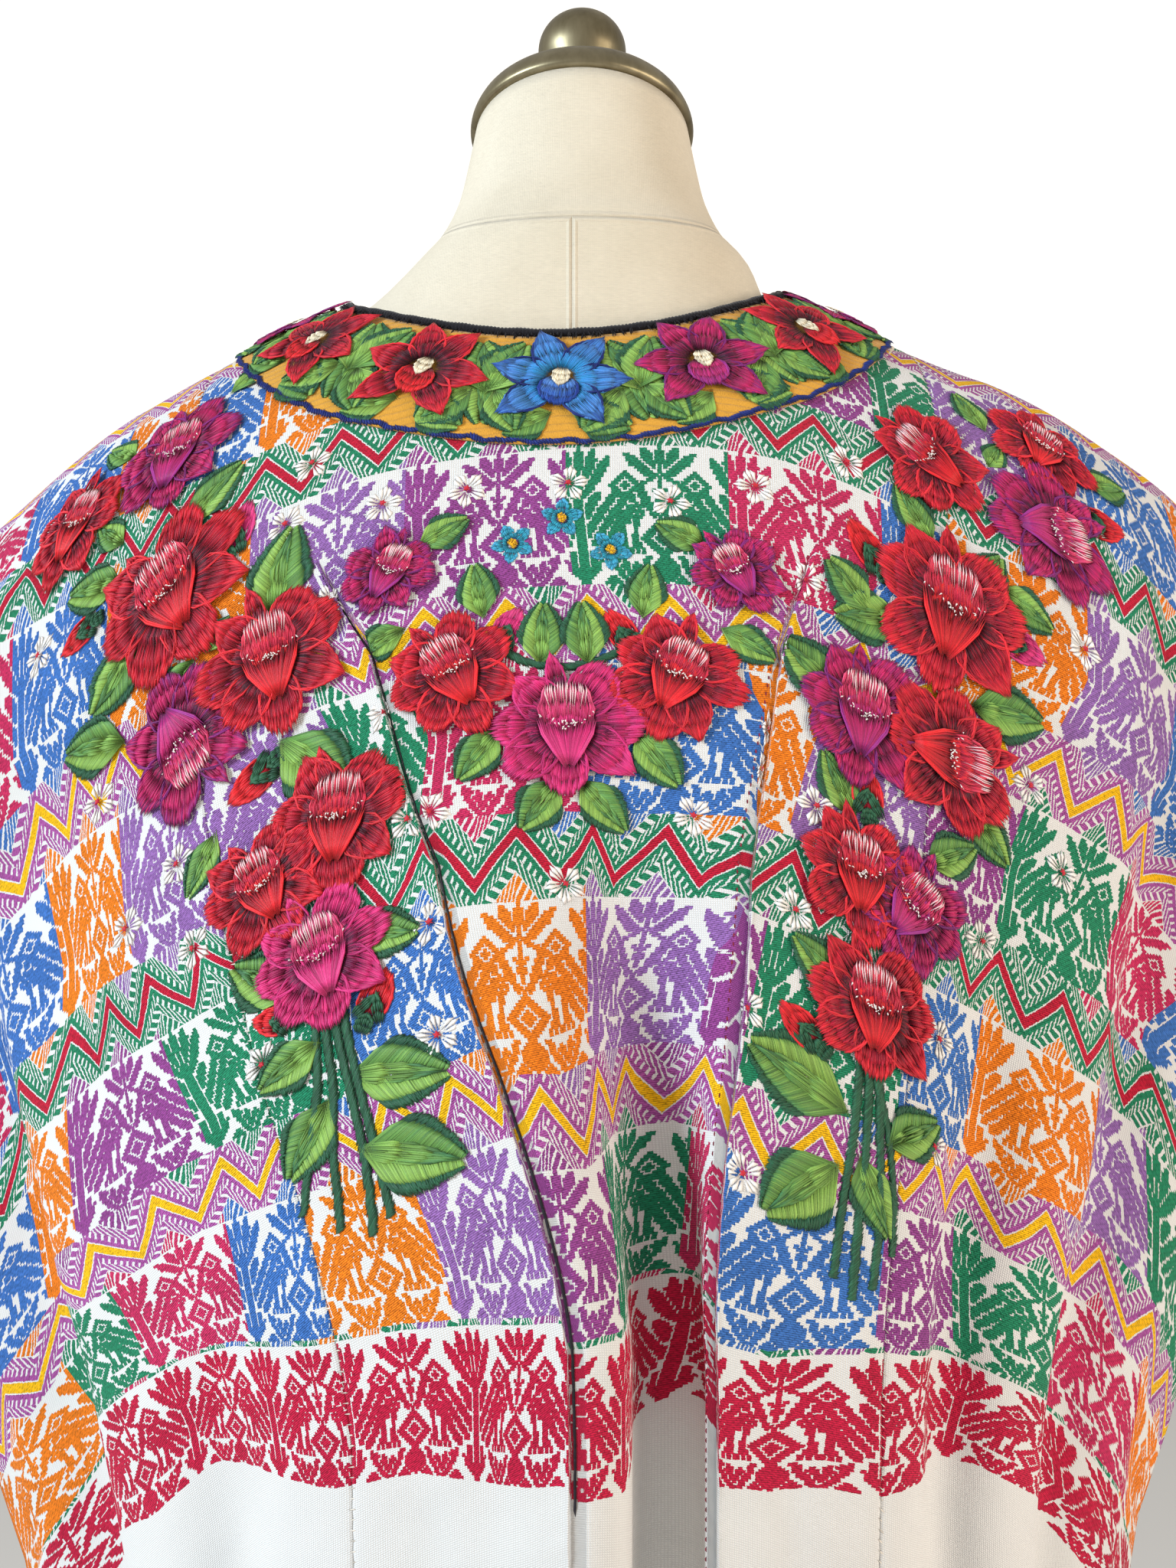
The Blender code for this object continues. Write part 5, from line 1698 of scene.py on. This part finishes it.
# %% The sprays on the shoulders
Bloom = namedtuple("Bloom", "kind u v size heading")
SPRAYS = {
    "left": (
        (Bloom(PLUM, -0.196, 0.114, 0.030, 80), Bloom(RED, -0.252, 0.120, 0.025, 60),
         Bloom(RED, -0.168, 0.352, 0.026, 100), Bloom(PLUM, -0.196, 0.266, 0.031, -75),
         Bloom(RED, -0.192, 0.192, 0.037, 112), Bloom(RED, -0.146, 0.250, 0.032, 88),
         Bloom(RED, -0.130, 0.338, 0.031, 75), Bloom(PINK, -0.150, 0.396, 0.029, 92)),
        (Bloom(RED, -0.166, 0.302, 0.012, 200), Bloom(PINK, -0.156, 0.178, 0.012, 70),
         Bloom(RED, -0.246, 0.182, 0.010, 190), Bloom(RED, -0.178, 0.412, 0.009, 150),
         Bloom(RED, -0.131, 0.424, 0.011, 50)),
        ((-0.222, 0.168, -0.252, 0.158), (-0.208, 0.206, -0.240, 0.224),
         (-0.226, 0.246, -0.258, 0.232), (-0.186, 0.160, -0.158, 0.142),
         (-0.142, 0.232, -0.128, 0.192), (-0.150, 0.290, -0.124, 0.326),
         (-0.166, 0.406, -0.190, 0.380), (-0.136, 0.392, -0.108, 0.404),
         (-0.160, 0.432, -0.190, 0.438), (-0.152, 0.452, -0.114, 0.468),
         (-0.164, 0.458, -0.190, 0.480), (-0.158, 0.484, -0.120, 0.506),
         (-0.186, 0.316, -0.204, 0.336), (-0.222, 0.148, -0.236, 0.132),
         (-0.170, 0.086, -0.150, 0.070), (-0.222, 0.096, -0.240, 0.080),
         (-0.182, 0.232, -0.206, 0.244), (-0.176, 0.232, -0.162, 0.222)),
        (((-0.154, 0.418), (-0.160, 0.454), (-0.170, 0.480), (-0.176, 0.512)),
         ((-0.150, 0.418), (-0.154, 0.460), (-0.158, 0.490), (-0.163, 0.520)),
         ((-0.146, 0.420), (-0.150, 0.460), (-0.153, 0.492), (-0.154, 0.516)),
         ((-0.158, 0.418), (-0.166, 0.450), (-0.180, 0.476), (-0.190, 0.498)))),
    "right": (
        (Bloom(RED, 0.246, 0.096, 0.025, 70), Bloom(RED, 0.182, 0.136, 0.027, 150),
         Bloom(RED, 0.160, 0.356, 0.027, 95), Bloom(PLUM, 0.246, 0.146, 0.030, 15),
         Bloom(PLUM, 0.186, 0.360, 0.026, 60), Bloom(RED, 0.198, 0.282, 0.031, 5),
         Bloom(PLUM, 0.154, 0.282, 0.030, 92), Bloom(RED, 0.190, 0.212, 0.037, 88),
         Bloom(RED, 0.170, 0.414, 0.029, 92)),
        (Bloom(RED, 0.146, 0.200, 0.012, 130), Bloom(PINK, 0.228, 0.214, 0.011, -10),
         Bloom(RED, 0.137, 0.436, 0.011, 150), Bloom(RED, 0.160, 0.316, 0.011, 100),
         Bloom(RED, 0.276, 0.124, 0.011, 20)),
        ((0.180, 0.184, 0.164, 0.160), (0.168, 0.228, 0.136, 0.240),
         (0.144, 0.280, 0.112, 0.264), (0.204, 0.196, 0.216, 0.174),
         (0.214, 0.190, 0.242, 0.198), (0.206, 0.252, 0.242, 0.244),
         (0.156, 0.332, 0.138, 0.308), (0.192, 0.336, 0.214, 0.318),
         (0.158, 0.414, 0.132, 0.398), (0.162, 0.464, 0.116, 0.452),
         (0.160, 0.488, 0.130, 0.520), (0.182, 0.470, 0.206, 0.450),
         (0.210, 0.300, 0.232, 0.318), (0.216, 0.100, 0.204, 0.078),
         (0.270, 0.104, 0.292, 0.092), (0.214, 0.124, 0.222, 0.108),
         (0.170, 0.480, 0.186, 0.508), (0.152, 0.232, 0.128, 0.216)),
        (((0.166, 0.432), (0.166, 0.472), (0.164, 0.506), (0.163, 0.536)),
         ((0.170, 0.432), (0.172, 0.474), (0.172, 0.508), (0.172, 0.542)),
         ((0.174, 0.432), (0.178, 0.470), (0.182, 0.504), (0.181, 0.534)),
         ((0.172, 0.440), (0.182, 0.466), (0.188, 0.492), (0.190, 0.516)))),
}
FRONT_LOWER = 0.030
CLOTH_SIDES = (("back", 1.0, 0.0), ("front", -1.0, FRONT_LOWER))
LEAF_GROWN, FLOWER_GROWN, BUD_GROWN, HEADS_LIFT = 0.10, 1.06, 1.15, 0.0018
LEAF_PLUMP, STEM_WIDE = 0.32, 0.0058
print({side: len(parts[0]) for side, parts in SPRAYS.items()}, "big flowers")


# %% Sewing the sprays
def spray(work, blooms, buds, leaves, stems):
    """Leaves first, then stems and buds, with the big flowers over them all."""
    for k, row in enumerate(leaves):
        base, tip = np.array(row[:2]), np.array(row[2:])
        tip = tip + (tip - base) * LEAF_GROWN
        leaf(work, base, tip, LEAF_PLUMP * math.dist(base, tip), 0.0004 * (k % 3),
             (-1) ** k)
    for path in stems:
        rope(work, path, STEM_WIDE, 0.0013, LEAF_DARK, 0.0005, 0.40, 6.5)
    for row in buds:
        bud(work, (row.u, row.v), row.size * BUD_GROWN, row.heading, row.kind)
    for k, row in enumerate(blooms):
        flower_head(work, (row.u, row.v), row.size * FLOWER_GROWN, row.heading, row.kind,
                    HEADS_LIFT + 0.0003 * (k % 3))


for side, parts in SPRAYS.items():
    for where, way, lower in CLOTH_SIDES:
        work = Embroidery(f"spray_{side}_{where}", ON_CLOTH, way, lower)
        spray(work, *parts)
        work.make()

# %% [markdown]
# Between the sprays hangs a swag of common garden flowers, with three small blue ones
# over it, and white daisies are strewn over the cloth round it.

# %% The swag and the daisies
SWAG = (
    (Bloom(PLUM, -0.080, 0.232, 0.020, 60), Bloom(PLUM, 0.082, 0.236, 0.020, 120),
     Bloom(RED, -0.050, 0.288, 0.028, 115), Bloom(RED, 0.052, 0.292, 0.028, 65),
     Bloom(PINK, 0.001, 0.318, 0.031, 90)),
    (Bloom(PINK, -0.024, 0.268, 0.010, 60), Bloom(RED, 0.027, 0.270, 0.010, 120)),
    ((-0.072, 0.262, -0.096, 0.270), (0.074, 0.266, 0.098, 0.276),
     (-0.066, 0.222, -0.044, 0.212), (0.068, 0.226, 0.046, 0.216),
     (-0.030, 0.318, -0.048, 0.340), (0.032, 0.320, 0.050, 0.344),
     (-0.004, 0.344, -0.022, 0.366), (0.006, 0.344, 0.024, 0.366),
     (-0.036, 0.262, -0.040, 0.236), (0.038, 0.264, 0.042, 0.238),
     (-0.010, 0.288, -0.008, 0.258), (0.012, 0.288, 0.010, 0.258)),
    (((-0.034, 0.274), (-0.018, 0.286), (0.000, 0.290), (0.018, 0.286), (0.036, 0.276)),))
SMALL_BLUES = ((-0.022, 0.226), (0.024, 0.230), (0.001, 0.214))
BLUE_THREADS, YELLOW_THREAD = tones("1C6E8E", "2F9DB4", "4AA6D0"), tones("E8B21C")
DAISIES = (
    (-0.132, 0.188), (-0.114, 0.236), (-0.246, 0.264), (-0.100, 0.354), (-0.208, 0.318),
    (-0.206, 0.360), (-0.062, 0.354), (-0.102, 0.404), (-0.112, 0.452), (0.056, 0.358),
    (0.137, 0.335), (0.132, 0.386), (0.112, 0.438), (0.204, 0.412), (0.224, 0.358),
    (0.118, 0.508), (-0.044, 0.196), (0.052, 0.204), (-0.100, 0.300), (0.118, 0.230),
    (0.138, 0.160), (0.262, 0.196), (0.240, 0.276), (-0.272, 0.172), (0.262, 0.306),
    (-0.120, 0.160), (0.092, 0.190), (0.004, 0.196), (-0.186, 0.428), (0.098, 0.330),
    (-0.240, 0.330), (0.206, 0.460), (0.100, 0.310), (-0.006, 0.392), (-0.084, 0.196),
)
for where, way, lower in CLOTH_SIDES:
    work = Embroidery(f"swag_{where}", ON_CLOTH, way, lower)
    spray(work, *SWAG)
    for place in DAISIES:
        daisy(work, place)
    for place in SMALL_BLUES:
        turn = HAND.uniform(0, 72)
        for k in range(5):
            petal(work, place, turn + 72 * k, 0.0012, 0.0095, 0.0030, 0.6, BLUE_THREADS,
                  0.0002)
        petal(work, place, turn, -0.0022, 0.0044, 0.0022, 0.2, YELLOW_THREAD, 0.0008)
    work.make()

# %% [markdown]
# The yoke is worked so closely that its golden cloth shows only between the leaves. Its
# flowers stand in a ring, each with its head towards the neck, and a navy cord in small
# waves is laid over its outer edge.

# %% The embroidery of the yoke
YOKE_BLOOMS = (
    (148, RED), (117, RED), (90, SKY), (62, PLUM), (33, RED), (5, PLUM), (-22, RED),
    (-47, SKY), (-69, RED), (-90, PLUM), (-111, RED), (-133, SKY), (-158, RED),
    (175, PLUM))
# Each leaf between two flowers: the share of the turn and of the width at its base, then
# the same at its tip
YOKE_LEAVES = (
    (0.50, 0.30, 0.52, 0.90), (0.94, 0.74, 0.64, 0.93), (0.08, 0.76, 0.42, 0.92),
    (0.40, 0.56, 0.12, 0.93), (0.56, 0.56, 0.74, 0.93), (0.50, 0.60, 0.34, 0.08),
    (0.52, 0.58, 0.74, 0.08))
YOKE_MIDDLE, YOKE_FLOWER, YOKE_LEAF_PLUMP = 0.47, 0.0340, 0.38
LEAF_LAYER, FLOWER_LAYER = 0.00022, 0.0023
CORD_STEPS, CORD_OUT, CORD_WAVE, CORD_WIDE = 1500, 0.985, 0.020, 0.0036


def on_ring(angle_deg, out):
    """A flat point of the yoke, with v counted down the back."""
    u, v = neck_flat(math.radians(angle_deg), out)
    return float(u), float(v)


def outward(angle_deg):
    """The heading from the neck to the yoke's edge."""
    near, far = on_ring(angle_deg, 0.2), on_ring(angle_deg, 0.8)
    return math.degrees(math.atan2(near[1] - far[1], far[0] - near[0]))


work = Embroidery("yoke_leaves", ON_YOKE)
turns = [turn for turn, _ in YOKE_BLOOMS]
for k, start in enumerate(turns):
    step = (start - turns[(k + 1) % len(turns)]) % 360
    for layer, (share, out, tip_share, tip_out) in enumerate(YOKE_LEAVES):
        base = on_ring(start - share * step, out)
        tip = on_ring(start - tip_share * step, tip_out)
        leaf(work, base, tip, YOKE_LEAF_PLUMP * math.dist(base, tip), layer * LEAF_LAYER,
             (-1) ** k)
work.make()
work = Embroidery("yoke_flowers", ON_YOKE + FLOWER_LAYER)
for turn, kind in YOKE_BLOOMS:
    star_head(work, on_ring(turn, YOKE_MIDDLE), YOKE_FLOWER,
              outward(turn) + 180 + HAND.uniform(-12, 12), kind)
work.make()
work = Embroidery("yoke_navy_cord", ON_YOKE)
angles = np.linspace(0.0, 2 * math.pi, CORD_STEPS)
waves = CORD_OUT + CORD_WAVE * np.sin(angles * 70) * np.sin(angles * 23 + 1.0)
rope(work, np.stack(neck_flat(angles, waves), 1), CORD_WIDE, 0.0015, NAVY_CORD, 0.0006)
work.make()

# %% [markdown]
# Last come the plain stitches: those that hold the two long tucks, and the over-and-over
# seams that join the lienzos. The dark line along the left tuck is stitching, widened and
# run together so that it also paints the shadow under the tuck's lip.

# %% The stitches of the tucks and seams, and the painted shadow along the left tuck
TUCK_PITCH, SEAM_PITCH = 0.0042, 0.0046
SEAM_STITCH_WIDE, SEAM_STITCH_LONG = 0.0019, 0.0016
work = Embroidery("tuck_seam_stitches_and_painted_tuck_shadow", ON_CLOTH)
run = np.arange(TUCKS[0].v + 0.012, HEM_V - 0.004, TUCK_PITCH)
left, left_end, right_start, right = tuck_lines(run)
taken = left_end - left
for line, colours, reach, wide, last in (
        # the left tuck's dark line: stitches, and painted shadow under the tuck's lip
        (left + 0.30 * taken, tones("17131C", "221B28"), 0.0105,
         np.maximum(0.0008, 0.21 * taken), BORDER_TOP + BORDER_TALL),
        (right_start - 0.0012, tones("8A2038", "A83050"), 0.0030, 0.0010, HEM_V)):
    u = line[:, None] + HAND.uniform(-0.0002, 0.0002, (len(run), 1)) + 0 * SECTIONS
    places = np.stack([u, run[:, None] + reach * SECTIONS], -1)
    wide, kept = wide + 0 * run, run < last
    work.add(places[kept], wide[kept], 0.0, shades(colours, 0 * u[kept]), BENT)
run = np.arange(-HEM_V + 0.003, HEM_V - 0.003, SEAM_PITCH)
for seam in (-SEAM_U, SEAM_U):
    u = seam + SEAM_STITCH_WIDE * (SECTIONS[None] * 2 - 1) + 0 * run[:, None]
    v = run[:, None] + SEAM_STITCH_LONG * SECTIONS
    work.add(np.stack([u, v], -1), 0.0008, 0.0001, shades(tones("E8DFD2"), 0 * u))
work.make()

# %% [markdown]
# Black wool is never smooth: loose hairs stand out from the binding and soften its edge.
# A hair particle system could grow them, but stitches as fine as a hair are already here.

# %% The wool hairs at the neck
HAIRS = 900
work = Embroidery("neck_wool_hairs", ON_YOKE)
angles = HAND.uniform(0.0, 2 * math.pi, HAIRS)
lean = HAND.uniform(-0.012, 0.012, HAIRS)[:, None] * SECTIONS
reach = HAND.uniform(0.03, 0.085, HAIRS)[:, None] * SECTIONS - 0.035
u, v = neck_flat(angles[:, None] + lean, reach)
work.add(np.stack([u, v], -1), 0.0008, HAND.uniform(0.0002, 0.0020, HAIRS),
         tones("14121A")[None])
work.make()

# %% [markdown]
# The room is plain and white: a pale floor under a white world. The camera sees the world
# brighter than it shines, so the shade in the folds stays deep.

# %% Floor and room
FLOOR_RADIUS, FLOOR_BELOW, FLOOR_COLOUR = 6.0, 0.0005, (0.80, 0.79, 0.77, 1.0)
ROOM_LIGHT, ROOM_SEEN, ROOM_COLOUR = 0.49, 1.14, (1.0, 0.96, 0.91, 1.0)
scene = bpy.context.scene
scene.view_settings.view_transform = "Standard"
disc = bmesh.new()
bmesh.ops.create_circle(disc, cap_ends=True, segments=96, radius=FLOOR_RADIUS)
mesh = bpy.data.meshes.new("floor")
disc.to_mesh(mesh)
disc.free()
floor = bpy.data.objects.new("floor", mesh)
scene.collection.objects.link(floor)
material, tree, shader = new_material("floor_white", 0.9)
shader.inputs["Base Color"].default_value = FLOOR_COLOUR
floor.data.materials.append(material)
floor.location.z = -FLOOR_BELOW

world = bpy.data.worlds.new("white_room")
scene.world = world
world.use_nodes = True
sky = world.node_tree.nodes["Background"]
sky.inputs["Color"].default_value = ROOM_COLOUR
rays = world.node_tree.nodes.new("ShaderNodeLightPath")
seen = Wire(world.node_tree, rays.outputs["Is Camera Ray"])
world.node_tree.links.new((seen * (ROOM_SEEN - ROOM_LIGHT) + ROOM_LIGHT).socket,
                          sky.inputs["Strength"])
print("floor", 2 * FLOOR_RADIUS, "m across")

# %% [markdown]
# A cool lamp at the left shapes the folds, and a broad warm one at the right fills their
# shade. The camera stands behind the garment and looks level at its back.

# %% Lights and camera
Lamp = namedtuple("Lamp", "name place aim width watts colour")
LAMPS = (
    Lamp("key_light", (-2.15, -1.35, 2.1), (0.0, 0.0, 1.15), 0.8, 77.0, (0.80, 0.91, 1.0)),
    Lamp("fill_light", (2.2, -1.3, 1.4), (0.0, 0.0, 1.1), 1.6, 43.0, (1.0, 0.87, 0.73)),
)
CAMERA_PLACE, LENS_MM, SENSOR_MM = (0.0033, -1.05, 1.18), 59.06, 36.0
for row in LAMPS:
    light = bpy.data.lights.new(row.name, "AREA")
    light.size, light.energy, light.color = row.width, row.watts, row.colour
    obj = bpy.data.objects.new(row.name, light)
    scene.collection.objects.link(obj)
    obj.location = row.place
    obj.rotation_euler = (Vector(row.aim) - Vector(row.place)).to_track_quat(
        "-Z", "Y").to_euler()
lens = bpy.data.cameras.new("camera")
lens.lens, lens.sensor_width, lens.sensor_fit = LENS_MM, SENSOR_MM, "HORIZONTAL"
camera = bpy.data.objects.new("camera", lens)
camera.location = CAMERA_PLACE
camera.rotation_euler = (math.pi / 2, 0.0, 0.0)
scene.collection.objects.link(camera)
scene.camera = camera
print("camera at", CAMERA_PLACE)

# %% A last update of the scene
bpy.context.view_layer.update()
